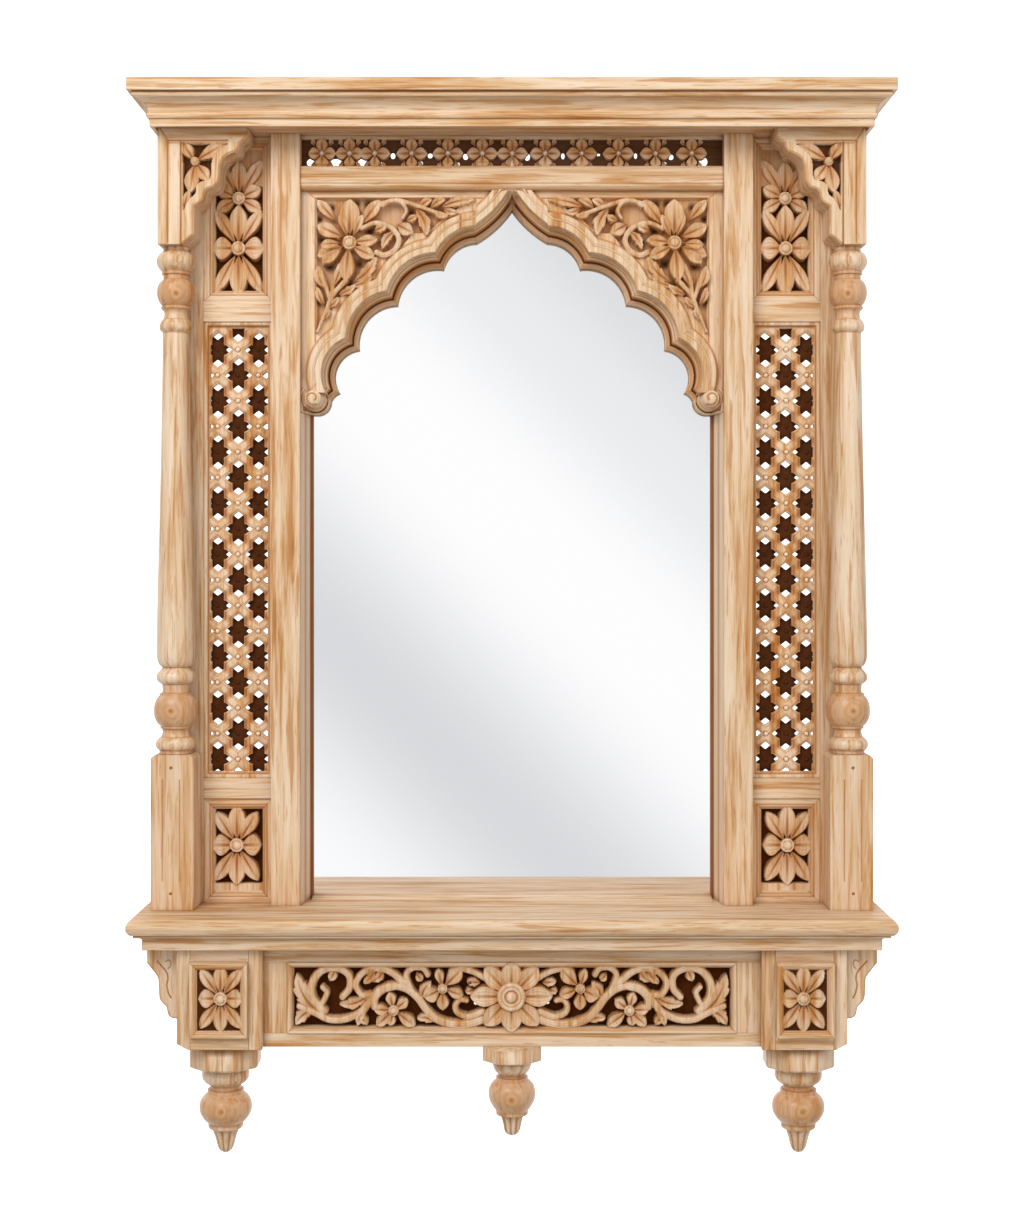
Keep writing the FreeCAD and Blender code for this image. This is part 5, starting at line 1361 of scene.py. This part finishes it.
CAPITAL_SCALLOPS = (
    (239.5, 143.0), (238.6, 146.8), (235.7, 151.1), (230.0, 153.2), (223.3, 157.8), (219.9, 165.5),
    (219.4, 175.0), (218.0, 181.8), (213.7, 186.6), (207.0, 189.0), (204.1, 193.3), (202.7, 199.0),
    (199.3, 202.8), (194.1, 205.7),
)
CAPITAL_TOP = [(150.0, 110.0), (248.1, 110.0), (248.1, 135.8), (241.4, 141.6)]
CAPITAL_FOOT = [
    (194.1, 234.4), (189.4, 237.6), (185.4, 241.0), (181.1, 244.9), (181.1, 252.0), (150.0, 252.0),
]
CAPITAL_RECESS_CURVE = (
    (227.6, 143.5), (218.5, 150.6), (212.7, 157.8), (211.0, 165.5), (211.0, 174.0), (208.4, 179.4),
    (201.2, 181.2), (196.5, 185.6), (195.0, 193.3), (188.8, 199.6), (183.1, 210.5),
)
CAPITAL_RECESS_CORNER = (182.1, 143.0)
CAPITAL_FLOWER = (194.5, 160.7)
CAPITAL_LEAVES = (
    ((182.6, 210.0), (188.4, 189.0), 8),
    ((194.0, 163.0), (189.3, 192.0), 16),
    ((196.0, 163.0), (208.4, 180.0), 14),
    ((193.0, 159.0), (182.6, 142.6), 13),
    ((196.0, 159.5), (225.5, 142.8), 15),
)
CAPITAL_RECESS = 11.0
CAPITAL_EASE = 1.6
CAPITAL_LINE_DEPTH = 2.2
CAPITAL_BOSS = 2.8
POST_RIGHT = 181.6
POST_TOP = 141.6
POST_EDGE = 180.6
MITRE_FROM = (159.0, 126.0)
MITRE_TO = 168.0
MITRE_SLOPE = 1.68
# Fine lines: upright or not, their place, both ends, their width and their share of the depth.
CAPITAL_LINES = (
    (True, 167.6, 140.4, 243.0, 0.7, 1.0),
    (False, 140.4, 167.6, 228.0, 0.7, 1.0),
    (False, 142.6, 169.0, 226.0, 0.6, 0.6),
)


def outline_field(carving, corners):
    """Distance in pixels inside a closed outline, less than 0 outside it."""
    distance = np.full(carving.px.shape, FAR)
    for start, end in zip(corners, corners[1:] + corners[:1]):
        _, dx, dy = way_to(carving.px, carving.py, start, end)
        distance = np.minimum(distance, np.hypot(dx, dy))
    return np.where(inside_polygon(carving.px, carving.py, corners), distance, -distance)


def drawn(points, spacing=1.2):
    """A curve through points as a plain list of places."""
    return [tuple(place) for place in curve_through(points, spacing)]


def fine_lines(carving, lines):
    """Incised lines, level or upright."""
    found = np.zeros(carving.px.shape)
    for upright, place, low, high, width, share in lines:
        beside, along = (carving.px, carving.py) if upright else (carving.py, carving.px)
        found += share * ridge(beside, place, width) * (along > low) * (along < high)
    return found


def capital(node):
    """The bracket: a post with two incised lines, a scalloped edge and a flower in a recess."""
    box, front, back = node_box(node)
    carving = Carving(box, front, 0.75)
    outline = outline_field(carving, CAPITAL_TOP + drawn(CAPITAL_SCALLOPS) + CAPITAL_FOOT)
    carving.open = -outline * carving.pixel
    post = (carving.px < POST_RIGHT) & (carving.py > POST_TOP)
    slant = MITRE_FROM[1] + MITRE_SLOPE * (carving.px - MITRE_FROM[0])
    beside = carving.px < MITRE_TO
    lines = fine_lines(carving, CAPITAL_LINES) + ridge(carving.px, POST_EDGE, 0.7) * post
    lines = np.clip(lines + 0.8 * ridge(carving.py, slant, 1.0) * beside, 0, 1)
    edge = CAPITAL_EASE * (1 - smooth(outline, 0.0, 1.5))
    step = smooth(carving.px, MITRE_TO, MITRE_TO + 0.6) * post
    carving.height = -edge - CAPITAL_LINE_DEPTH * lines - step
    # Tone: painted shade in the incised lines and just inside the outline.
    carving.tone = 0.95 * lines + 0.6 * ridge(outline, 1.2, 0.7)
    carving.level = carving.py < np.where(beside, slant, POST_TOP)
    recess = outline_field(carving, [CAPITAL_RECESS_CORNER] + drawn(CAPITAL_RECESS_CURVE))
    # The recess is painted near-black, as painted shade.
    carving.sink(recess > 0, CAPITAL_RECESS, 0.05)
    for root, tip, width in CAPITAL_LEAVES:
        carving.leaf(root, tip, width, CREST_TOP, crest=0.58)
    carving.ball(CAPITAL_FLOWER, CAPITAL_BOSS, 0.4, ring=1.6)
    return carving, back


CORBEL_OUTLINE = (
    (147.3, 963.5), (150.5, 967.5), (157.6, 977.2), (158.6, 986.0), (159.4, 997.6), (162.6, 1003.2),
    (166.2, 1006.8), (167.2, 1011.2), (168.6, 1015.6), (172.0, 1018.0), (178.6, 1019.0),
)
CORBEL_LINE = (
    (157.3, 961.2), (160.2, 964.6), (166.6, 972.4), (167.9, 979.0), (166.9, 985.4), (168.4, 992.8),
    (171.0, 998.0),
)
CORBEL_ENDS = [(190.0, 1019.0), (190.0, 940.0), (140.0, 940.0), (140.0, 963.5)]
CORBEL_LINE_DEPTH = 1.6
CORBEL_EASE = 1.2
CORBEL_HOOK = ((165.6, 961.6), (168.5, 959.9), (170.8, 962.0), (170.2, 966.0), (167.9, 969.0))


def beside_line(carving, points):
    """Distance in pixels to a smooth line through points."""
    distance = np.full(carving.px.shape, FAR)
    for place in drawn(points, 0.6):
        distance = np.minimum(distance, carving.reach(place))
    return distance


def corbel(node):
    """The small scrolled bracket beside the corner block, with its incised line."""
    box, front, back = node_box(node)
    carving = Carving(box, front, 0.6)
    outline = outline_field(carving, drawn(CORBEL_OUTLINE) + CORBEL_ENDS)
    carving.open = -outline * carving.pixel
    groove = ridge(beside_line(carving, CORBEL_LINE), 0.0, 0.75)
    hook = ridge(beside_line(carving, CORBEL_HOOK), 0.0, 0.6)
    lines = np.maximum(groove, 0.8 * hook)
    carving.height = -CORBEL_LINE_DEPTH * lines - CORBEL_EASE * (1 - smooth(outline, 0.0, 1.3))
    # Tone: painted shade in the incised line, the hook and just inside the outline.
    carving.tone = np.clip(lines + 0.5 * ridge(outline, 1.0, 0.6), 0, 1)
    return carving, back


# Turned columns and drops

COLUMN_AXIS = (-389.5, 91.7)
COLUMN_KNOTS = ((176.0, 293.0), (171.3, 710.9))
COLUMN_RUNS = (
    ((247.6, 12.3), (249.5, 12.3), (251.4, 12.6)),
    ((252.0, 13.0), (255.0, 16.6), (259.0, 18.7), (263.6, 19.0), (268.0, 17.4), (272.1, 13.5)),
    ((272.6, 14.1), (275.2, 14.1)),
    ((275.6, 12.5), (280.2, 12.5)),
    ((280.7, 13.9), (284.0, 16.6), (288.5, 18.3), (293.6, 18.75), (299.0, 18.0), (303.5, 15.9),
     (306.4, 13.4)),
    ((307.0, 14.6), (309.6, 14.6)),
    ((310.0, 13.8), (312.0, 12.0), (314.6, 11.5), (318.0, 12.0), (320.0, 12.8)),
    ((320.4, 13.4), (323.0, 15.2), (327.9, 16.4), (331.0, 15.4), (333.2, 12.9)),
    ((334.0, 12.9), (360.0, 13.3), (420.0, 14.2), (480.0, 15.4), (540.0, 16.8), (600.0, 18.2),
     (640.0, 18.85), (655.0, 18.9), (661.0, 18.0), (664.6, 16.2), (666.8, 13.7)),
    ((667.2, 13.2), (669.5, 14.9), (673.0, 18.0), (676.6, 19.1), (680.5, 18.2), (683.4, 15.0)),
    ((684.0, 13.6), (689.1, 13.2), (692.2, 13.6)),
    ((692.7, 15.8), (694.5, 15.8)),
    ((695.0, 16.2), (699.0, 19.3), (704.5, 21.2), (710.5, 21.7), (716.5, 21.1), (722.0, 18.6),
     (725.7, 15.2)),
    ((726.3, 15.4), (727.9, 15.4)),
    ((728.3, 13.6), (732.0, 13.2), (736.0, 14.4)),
    ((736.5, 15.2), (739.5, 18.6), (743.6, 20.0), (747.5, 19.0), (750.0, 16.5), (753.0, 16.4)),
)
DROP_AXIS = (-330.0, 103.0)
DROP_KNOTS = ((222.1, 1110.0),)
DROP_RUNS = (
    ((1063.0, 21.0), (1069.0, 23.0), (1074.9, 23.5), (1079.5, 21.5), (1083.5, 15.9)),
    ((1084.0, 15.2), (1087.6, 15.2)),
    ((1088.0, 17.9), (1090.8, 17.9)),
    ((1091.4, 18.0), (1096.0, 22.8), (1100.5, 25.3), (1105.7, 26.0), (1111.0, 25.2), (1117.0, 21.9),
     (1122.2, 16.9)),
    ((1122.8, 17.3), (1126.0, 17.0), (1127.0, 15.4)),
    ((1127.3, 14.0), (1130.0, 12.6), (1135.9, 10.5), (1143.0, 8.6), (1147.3, 7.0), (1150.5, 4.2),
     (1151.7, 1.0)),
)
CENTRE_AXIS = (0.0, 126.0)
CENTRE_KNOTS = ((511.4, 1099.0),)
CENTRE_RUNS = (
    ((1057.6, 17.6), (1060.5, 19.2), (1063.0, 19.6), (1069.0, 17.5), (1073.6, 13.1)),
    ((1074.0, 12.8), (1075.4, 12.8)),
    ((1075.8, 15.9), (1078.4, 15.9)),
    ((1079.0, 16.5), (1083.0, 20.6), (1088.0, 22.9), (1093.6, 23.4), (1099.5, 22.3), (1105.5, 19.0),
     (1110.0, 15.8)),
    ((1110.4, 16.0), (1113.0, 16.0)),
    ((1113.4, 12.6), (1116.0, 11.2), (1122.0, 9.5), (1129.0, 8.0), (1133.0, 5.5), (1134.9, 1.0)),
)
TURNED_SIDES = 72
FLUTES = 9
FLUTE_DEPTH = 0.13
CAP_SIDES = 8
CAP_SIDE_POINTS = 8
CAP_TOP = -141.9
# Rows of a cap: share of its height, and how far each stands back from its side.
CAP_ROWS = ((1.0, 0.0), (0.07, 0.0), (0.0, 1.8), (0.0, 9.0))
KNOT_FORWARD = 22.0
KNOT_BLUSH = 30.0
KNOT_FAR = 99.0
KNOT_BEHIND = 60.0
COLUMN_TOP = 773.1
DROP_CAP = (38.6, -170.9)
DROP_TOP = -166.0
DROP_FLUTED_BELOW = -243.6
CENTRE_CAP = (33.0, -157.9)
CENTRE_TOP = -155.0
CENTRE_FLUTED_BELOW = -220.7
PLINTH_TOP = 187.0
PLINTH_CUT = 4.0
PLINTH_LINES = ((True, 162.3, 780.0, 882.0, 0.6, 1.0), (True, 179.5, 780.0, 882.0, 0.6, 1.0))
PLINTH_NAILS = ((170.9, 768.2), (170.7, 893.9))
PLINTH_LINE_DEPTH = 1.2
PLINTH_EASE = 0.8
NAIL_RADIUS = 1.4


def turned_profile(runs, forward, top):
    """Radii and heights in millimetres down a turned piece, and the rows where it has an edge."""
    pixel = pixel_size(forward)
    rows = []
    creased = []
    for run in runs:
        line = curve_through(run, 0.8) if len(run) > 2 else np.array(run, float)
        creased += [len(rows), len(rows) + len(line) - 1]
        rows += [(half * pixel, min(height_at(down, forward), top)) for down, half in line]
    return np.array(rows), creased


def ring_turn(count):
    """Angles of the points of a ring."""
    return np.linspace(0, 2 * np.pi, count, endpoint=False)


def knot_places(knots, forward):
    """Places in millimetres, across and up, of knots given in the photograph."""
    depth = forward + KNOT_FORWARD
    pixel = pixel_size(depth)
    return [((across - VANISHING_X) * pixel, height_at(down, depth)) for across, down in knots]


def turned_mesh(name, axis, runs, knots, top, fluted_below=None):
    """A turned piece, with flutes below a height where it has them."""
    middle, forward = axis
    rows, creased = turned_profile(runs, forward, top)
    turn = ring_turn(TURNED_SIDES)
    radius, z = (np.repeat(rows[:, [column]], TURNED_SIDES, axis=1) for column in (0, 1))
    tone = np.zeros(radius.shape)
    if fluted_below is not None:
        wave = 0.5 - 0.5 * np.cos(FLUTES * turn)
        deep = (z < fluted_below) * smooth(radius, 0.0, 5.0)
        radius = radius * (1 - FLUTE_DEPTH * wave * deep)
        # Tone: painted shade in the flutes.
        tone = 0.8 * wave ** 2 * deep
    # Painted shade at both edges of each turned ring.
    tone[creased] = np.maximum(tone[creased], 0.45)
    x = middle + radius * np.cos(turn)
    y = -forward + radius * np.sin(turn)
    knot = np.full(radius.shape, KNOT_FAR)
    for across, height in knot_places(knots, forward):
        tone = np.maximum(tone, 0.4 * np.exp(-((z - height) / KNOT_BLUSH) ** 4))
        knot = np.minimum(knot, np.hypot(x - across, z - height) + KNOT_BEHIND * (y > -forward))
    points = np.stack([x, y, z], axis=2)
    return woven_mesh(name, points, points, {"tone": tone, "knot": knot}, creased, turned=True)


def cap_mesh(name, axis, reach, low):
    """The eight-sided cap over a drop, one side to the front, with a broken lower edge."""
    middle, forward = axis
    turn = ring_turn(CAP_SIDES * CAP_SIDE_POINTS)
    sector = 2 * np.pi / CAP_SIDES
    inside = (turn + sector / 2) % sector
    radius = reach / np.cos(inside - sector / 2)
    rows = []
    for share, back in CAP_ROWS:
        height = np.full(turn.shape, low + (CAP_TOP - low) * share)
        ring = radius - back
        rows.append(np.stack([middle + ring * np.cos(turn), -forward + ring * np.sin(turn), height], axis=1))
    points = np.array(rows)
    corner = ridge(np.minimum(inside, sector - inside) * reach, 0.0, 0.9)
    tone = np.tile(0.6 * corner, (len(rows), 1))
    values = {"tone": tone, "knot": np.full(tone.shape, KNOT_FAR)}
    return woven_mesh(name, points, points, values, (1, 2), turned=True)


def mirrored(axis, knots, flip):
    """The axis and the knots of the left-hand piece, or of its right-hand twin."""
    if not flip:
        return axis, knots
    return (-axis[0], axis[1]), [(2 * VANISHING_X - across, down) for across, down in knots]


def plinth(node):
    """The column's square foot: incised lines, two nails and cut top corners."""
    (left, right, low, _), front, back = node_box(node)
    carving = Carving((left, right, low, PLINTH_TOP), front, 0.75)
    carving.open = PLINTH_CUT - carving.across - (PLINTH_TOP - carving.z)
    groove = fine_lines(carving, PLINTH_LINES)
    carving.height = -PLINTH_LINE_DEPTH * groove - PLINTH_EASE * (1 - smooth(carving.across, 0.0, 1.4))
    # Tone: a light brown over the face, and painted shade in the incised lines.
    carving.tone = 0.16 + 0.54 * groove
    for place in PLINTH_NAILS:
        nail = carving.reach(place)
        carving.height = carving.height - 1.0 * (nail < NAIL_RADIUS)
        carving.tone = np.maximum(carving.tone, 1.3 * (nail < NAIL_RADIUS + 0.1))
    return carving, back


def columns(turned, carved):
    """Both columns: a turned shaft on a square foot."""
    foot, back = plinth("column_left")
    for side, flip in SIDES:
        node = "column" + side
        axis, knots = mirrored(COLUMN_AXIS, COLUMN_KNOTS, flip)
        shaft = turned_mesh(node + "_shaft", axis, COLUMN_RUNS, knots, COLUMN_TOP)
        stand_in(node + "_shaft", shaft, turned, node)
        carved_piece(node + "_plinth", foot, back, flip, carved, node)


def drop_and_cap(side, material, axis, knots, runs, top, fluted_below, cap):
    """One turned drop and the cap that it hangs from."""
    drop = turned_mesh("drop" + side, axis, runs, knots, top, fluted_below)
    stand_in("drop" + side, drop, material, "finials")
    stand_in("drop_cap" + side, cap_mesh("drop_cap" + side, axis, *cap), material, "finials")


def drops(turned):
    """The three turned drops under their caps."""
    for side, flip in SIDES:
        axis, knots = mirrored(DROP_AXIS, DROP_KNOTS, flip)
        drop_and_cap(side, turned, axis, knots, DROP_RUNS, DROP_TOP, DROP_FLUTED_BELOW, DROP_CAP)
    centre = (CENTRE_AXIS, CENTRE_KNOTS, CENTRE_RUNS, CENTRE_TOP, CENTRE_FLUTED_BELOW, CENTRE_CAP)
    drop_and_cap("_centre", turned, *centre)


# Arch moulding

NECK = (-200.5, 594.0, 16.5)
NECK_END = 2.95
VOLUTE = (-232.2, 599.7)
CROWN_LIMIT = 849.6
MOULDING_BACK = 27.0
OVOLO = (836.0, 842.0)
OVOLO_FRONT = 78.4
OVOLO_SHARE = 0.04
COVE = [(9.6 + 9.0 * math.sin(turn), 58.6 + 18.4 * (1 - math.cos(turn))) for turn in np.linspace(0.1, 1.5, 9)]
# The moulding's section: distance from the arch's edge into the wood, and forward of the wall.
ARCH_PROFILE = (
    [(0.0, 27.0), (0.0, 40.0), (0.8, 41.2), (4.6, 41.8), (5.2, 38.0), (6.4, 38.0), (6.8, 56.0), (7.4, 57.8),
     (8.6, 58.5), (9.4, 58.5)]
    + COVE
    + [(18.9, 78.4), (19.5, 79.5), (20.2, 79.8), (20.8, 79.3), (21.0, 77.4), (21.6, 77.2), (21.9, 78.9),
       (22.0, 78.9), (22.0, 27.0)]
)
# Tone by the section's point: painted shade in the quirks and down the cove, darkest under the bead.
ARCH_SHADE = {
    2: 0.4, 3: 0.4, 4: 1.0, 5: 1.0, 6: 0.4, 8: 0.4, 9: 0.7, 11: 0.3, 12: 0.4, 13: 0.5, 14: 0.5, 15: 0.55,
    16: 0.6, 17: 0.6, 18: 0.75, 23: 1.0, 24: 1.0,
}
ARCH_CREASED = (1, 3, 4, 5, 6, 9, 18, 23, 24, 25, 27)
JOINT_TONE = 0.7
MOULDING_STEP = 2.2
VOLUTE_SIDES = 72
# Rings of the volute, from its edge in: radius, and forward of the wall. The eye follows them.
VOLUTE_RINGS = [
    (16.5, 27.0), (16.5, 40.0), (15.9, 41.2), (14.4, 41.8), (14.1, 38.0), (13.5, 38.0), (13.2, 56.0),
    (12.6, 58.2), (11.9, 58.6), (11.3, 62.0), (10.4, 70.0), (9.7, 77.0), (9.4, 79.4),
]
# Painted shade in the quirks.
VOLUTE_SHADE = {4: 1.0, 5: 1.0, 8: 0.5}
VOLUTE_CREASED = (1, 3, 4, 5, 6, 12)
EYE_FRONT = 80.0
EYE_RISE = 3.6
EYE_RADII = np.linspace(8.8, 0.5, 16)
SPIRAL_START = 3.4
SPIRAL_GROWTH = 5.2
SPIRAL_DEPTH = 1.5
VOLUTE_CORNER = (14.2, 16.4)
VOLUTE_FILL = 47.0
CORNERED_BEYOND = 14.0
SPIRAL_WIDTH = 0.85
SPIRAL_WITHIN = 9.3


def grown(curve, width):
    """Radius of a foil, or of the crown's hollow curve, grown by a width into the wood."""
    return curve[2] - width if curve is CROWN else curve[2] + width


def meeting(first, second, width):
    """Angles about both centres of the point where two neighbouring curves meet, grown by a width."""
    run = np.array(second[:2]) - np.array(first[:2])
    apart = np.linalg.norm(run)
    run = run / apart
    one = grown(first, width)
    two = grown(second, width)
    along = (one ** 2 - two ** 2 + apart ** 2) / (2 * apart)
    across = math.sqrt(max(one ** 2 - along ** 2, 0.0))
    sign = 1 if first is CROWN else -1
    point = np.array(first[:2]) + along * run + sign * across * np.array([-run[1], run[0]])
    return [math.atan2(point[1] - curve[1], point[0] - curve[0]) for curve in (first, second)]


def crown_start(width):
    """Angle at which the crown's curve leaves the middle line, or passes behind the frieze rail."""
    reach = grown(CROWN, width)
    low = CROWN[1] - CROWN_LIMIT
    if reach ** 2 - CROWN[0] ** 2 < low ** 2:
        return -math.acos(-CROWN[0] / reach)
    return -math.asin(low / reach)


def over_ovolo(forward, z):
    """The crown stands just in front of the frieze rail's ovolo, where it crosses it."""
    raised = np.maximum(forward, OVOLO_FRONT + OVOLO_SHARE * (forward - 37.0))
    lifted = forward + (raised - forward) * smooth(z, *OVOLO)
    return np.where(forward > MOULDING_BACK, lifted, forward)


def sweep(curve, starts, ends):
    """The moulding along one curve, between an angle at its start and one at its end for each row."""
    profile = np.array(ARCH_PROFILE)
    radius = grown(curve, profile[:, :1])
    starts, ends = (np.array(angles)[:, None] for angles in (starts, ends))
    span = np.abs(ends - starts).max() * curve[2]
    count = max(6, int(span / MOULDING_STEP))
    margin = 0.35 / count
    share = np.concatenate([[0.0, margin], np.linspace(0, 1, count + 1)[1:-1], [1 - margin, 1.0]])
    turn = starts * (1 - share) + ends * share
    x = curve[0] + radius * np.cos(turn)
    z = curve[1] + radius * np.sin(turn)
    forward = np.repeat(profile[:, 1:], len(share), axis=1)
    if curve is CROWN:
        forward = over_ovolo(forward, z)
    # Painted shade in the quirks and down the cove.
    tone = toned(x.shape, ARCH_SHADE)
    tone[:, [0, -1]] = np.maximum(tone[:, [0, -1]], JOINT_TONE)
    across = np.repeat(profile[:, :1], len(share), axis=1)
    plank = np.stack([across, -forward, turn * radius.mean()], axis=2)
    return np.stack([x, -forward, z], axis=2), plank, tone


def toned(shape, dark):
    """Tone over rows of points, 0 apart from the rows given painted shade."""
    tone = np.zeros(shape)
    for row, value in dark.items():
        tone[row] = value
    return tone


def moulding_piece(name, parts, flip, material, node):
    """One length of the moulding."""
    points, plank, tone = parts
    values = {"tone": tone, "shade": np.ones(tone.shape)}
    mesh = woven_mesh(name, points * MIRROR[flip], plank, values, ARCH_CREASED)
    stand_in(name, mesh, material, node)


def volute(name, flip):
    """The scroll at the foot of the moulding: its rings and a spiral that ends in an eye."""
    eye = [(reach, EYE_FRONT + EYE_RISE * math.cos(reach / 9.0 * 1.45)) for reach in EYE_RADII]
    rows = np.array(VOLUTE_RINGS + eye)
    turn = ring_turn(VOLUTE_SIDES)
    radius, forward = (np.repeat(rows[:, [column]], VOLUTE_SIDES, axis=1) for column in (0, 1))
    wide, tall = VOLUTE_CORNER
    corner = np.minimum(wide / np.maximum(-np.cos(turn), 0.01), tall / np.maximum(-np.sin(turn), 0.01))
    corner = np.maximum(corner / VOLUTE_RINGS[0][0], 1.0)
    cornered = (rows[:, :1] > CORNERED_BEYOND) & (np.cos(turn) < -0.1) & (np.sin(turn) < -0.1)
    radius = np.where(cornered, radius * corner, radius)
    wound = (turn / (2 * np.pi) + 0.15) % 1.0
    spiral = ridge(radius, SPIRAL_START + SPIRAL_GROWTH * wound, SPIRAL_WIDTH) * (radius < SPIRAL_WITHIN)
    beside = smooth(-np.cos(turn), 0.1, 0.75)
    filled = np.maximum(forward, MOULDING_BACK + VOLUTE_FILL * beside)
    forward = np.where(forward > MOULDING_BACK, filled, forward) - SPIRAL_DEPTH * spiral
    x = VOLUTE[0] + radius * np.cos(turn)
    z = VOLUTE[1] + radius * np.sin(turn)
    # Tone: painted shade in the spiral groove and the quirks.
    tone = np.maximum(0.9 * spiral, toned(x.shape, VOLUTE_SHADE))
    points = np.stack([x, -forward, z], axis=2) * MIRROR[flip]
    values = {"tone": tone, "shade": np.ones(x.shape)}
    return woven_mesh(name, points, points, values, VOLUTE_CREASED, turned=True)


def arch_moulding(material):
    """The cusped moulding: crown halves, four foils and a neck on each side, and the scrolls."""
    widths = [width for width, _ in ARCH_PROFILE]
    chain = (CROWN,) + FOILS + (NECK,)
    joints = [[meeting(one, two, width) for width in widths] for one, two in zip(chain, chain[1:])]
    starts = [[crown_start(width) for width in widths]] + [[after for _, after in joint] for joint in joints]
    ends = [[before for before, _ in joint] for joint in joints] + [[NECK_END] * len(widths)]
    labels = ["_half"] + [f"_foil_{number + 1}" for number in range(len(FOILS))] + ["_neck"]
    for side, flip in SIDES:
        for curve, start, end, label in zip(chain, starts, ends, labels):
            node = "arch_crown" if curve is CROWN else "arch" + side
            name = "arch_crown" + side + label if curve is CROWN else node + label
            if curve in FOILS:
                end = [last + 2 * math.pi * (last < first - math.pi) for first, last in zip(start, end)]
            moulding_piece(name, sweep(curve, start, end), flip, material, node)
        name = "arch" + side + "_volute"
        stand_in(name, volute(name, flip), material, "arch" + side)


CARVED_PAIRS = (
    ("upper_panel", upper_panel),
    ("lower_panel", lower_panel),
    ("block_panel", block_panel),
    ("spandrel", spandrel),
)
BRACKET_PAIRS = (("capital", capital), ("corbel", corbel))


def main():
    dress_boards()
    dress(silvered_glass(), "mirror_glass")
    dress(backing_fibre(), "back_panel")
    dress(plated_steel(), "hanger_screws", *both("hanger", "ring"))
    carved = pine_carved("pine_carved")
    turned = pine_turned("pine_turned")
    for stem, carve in CARVED_PAIRS:
        carve_pair(stem, carve, carved)
    carve_single("apron_panel", apron, carved)
    carve_single("frieze_jali", frieze, carved)
    for stem, carve in BRACKET_PAIRS:
        carve_pair(stem, carve, carved)
    side_screens(carved)
    arch_moulding(carved)
    columns(turned, carved)
    drops(turned)
    white_wall()
    reflected_card()
    light_stage()
    place_camera()
    bpy.context.scene.view_settings.view_transform = "Standard"


main()
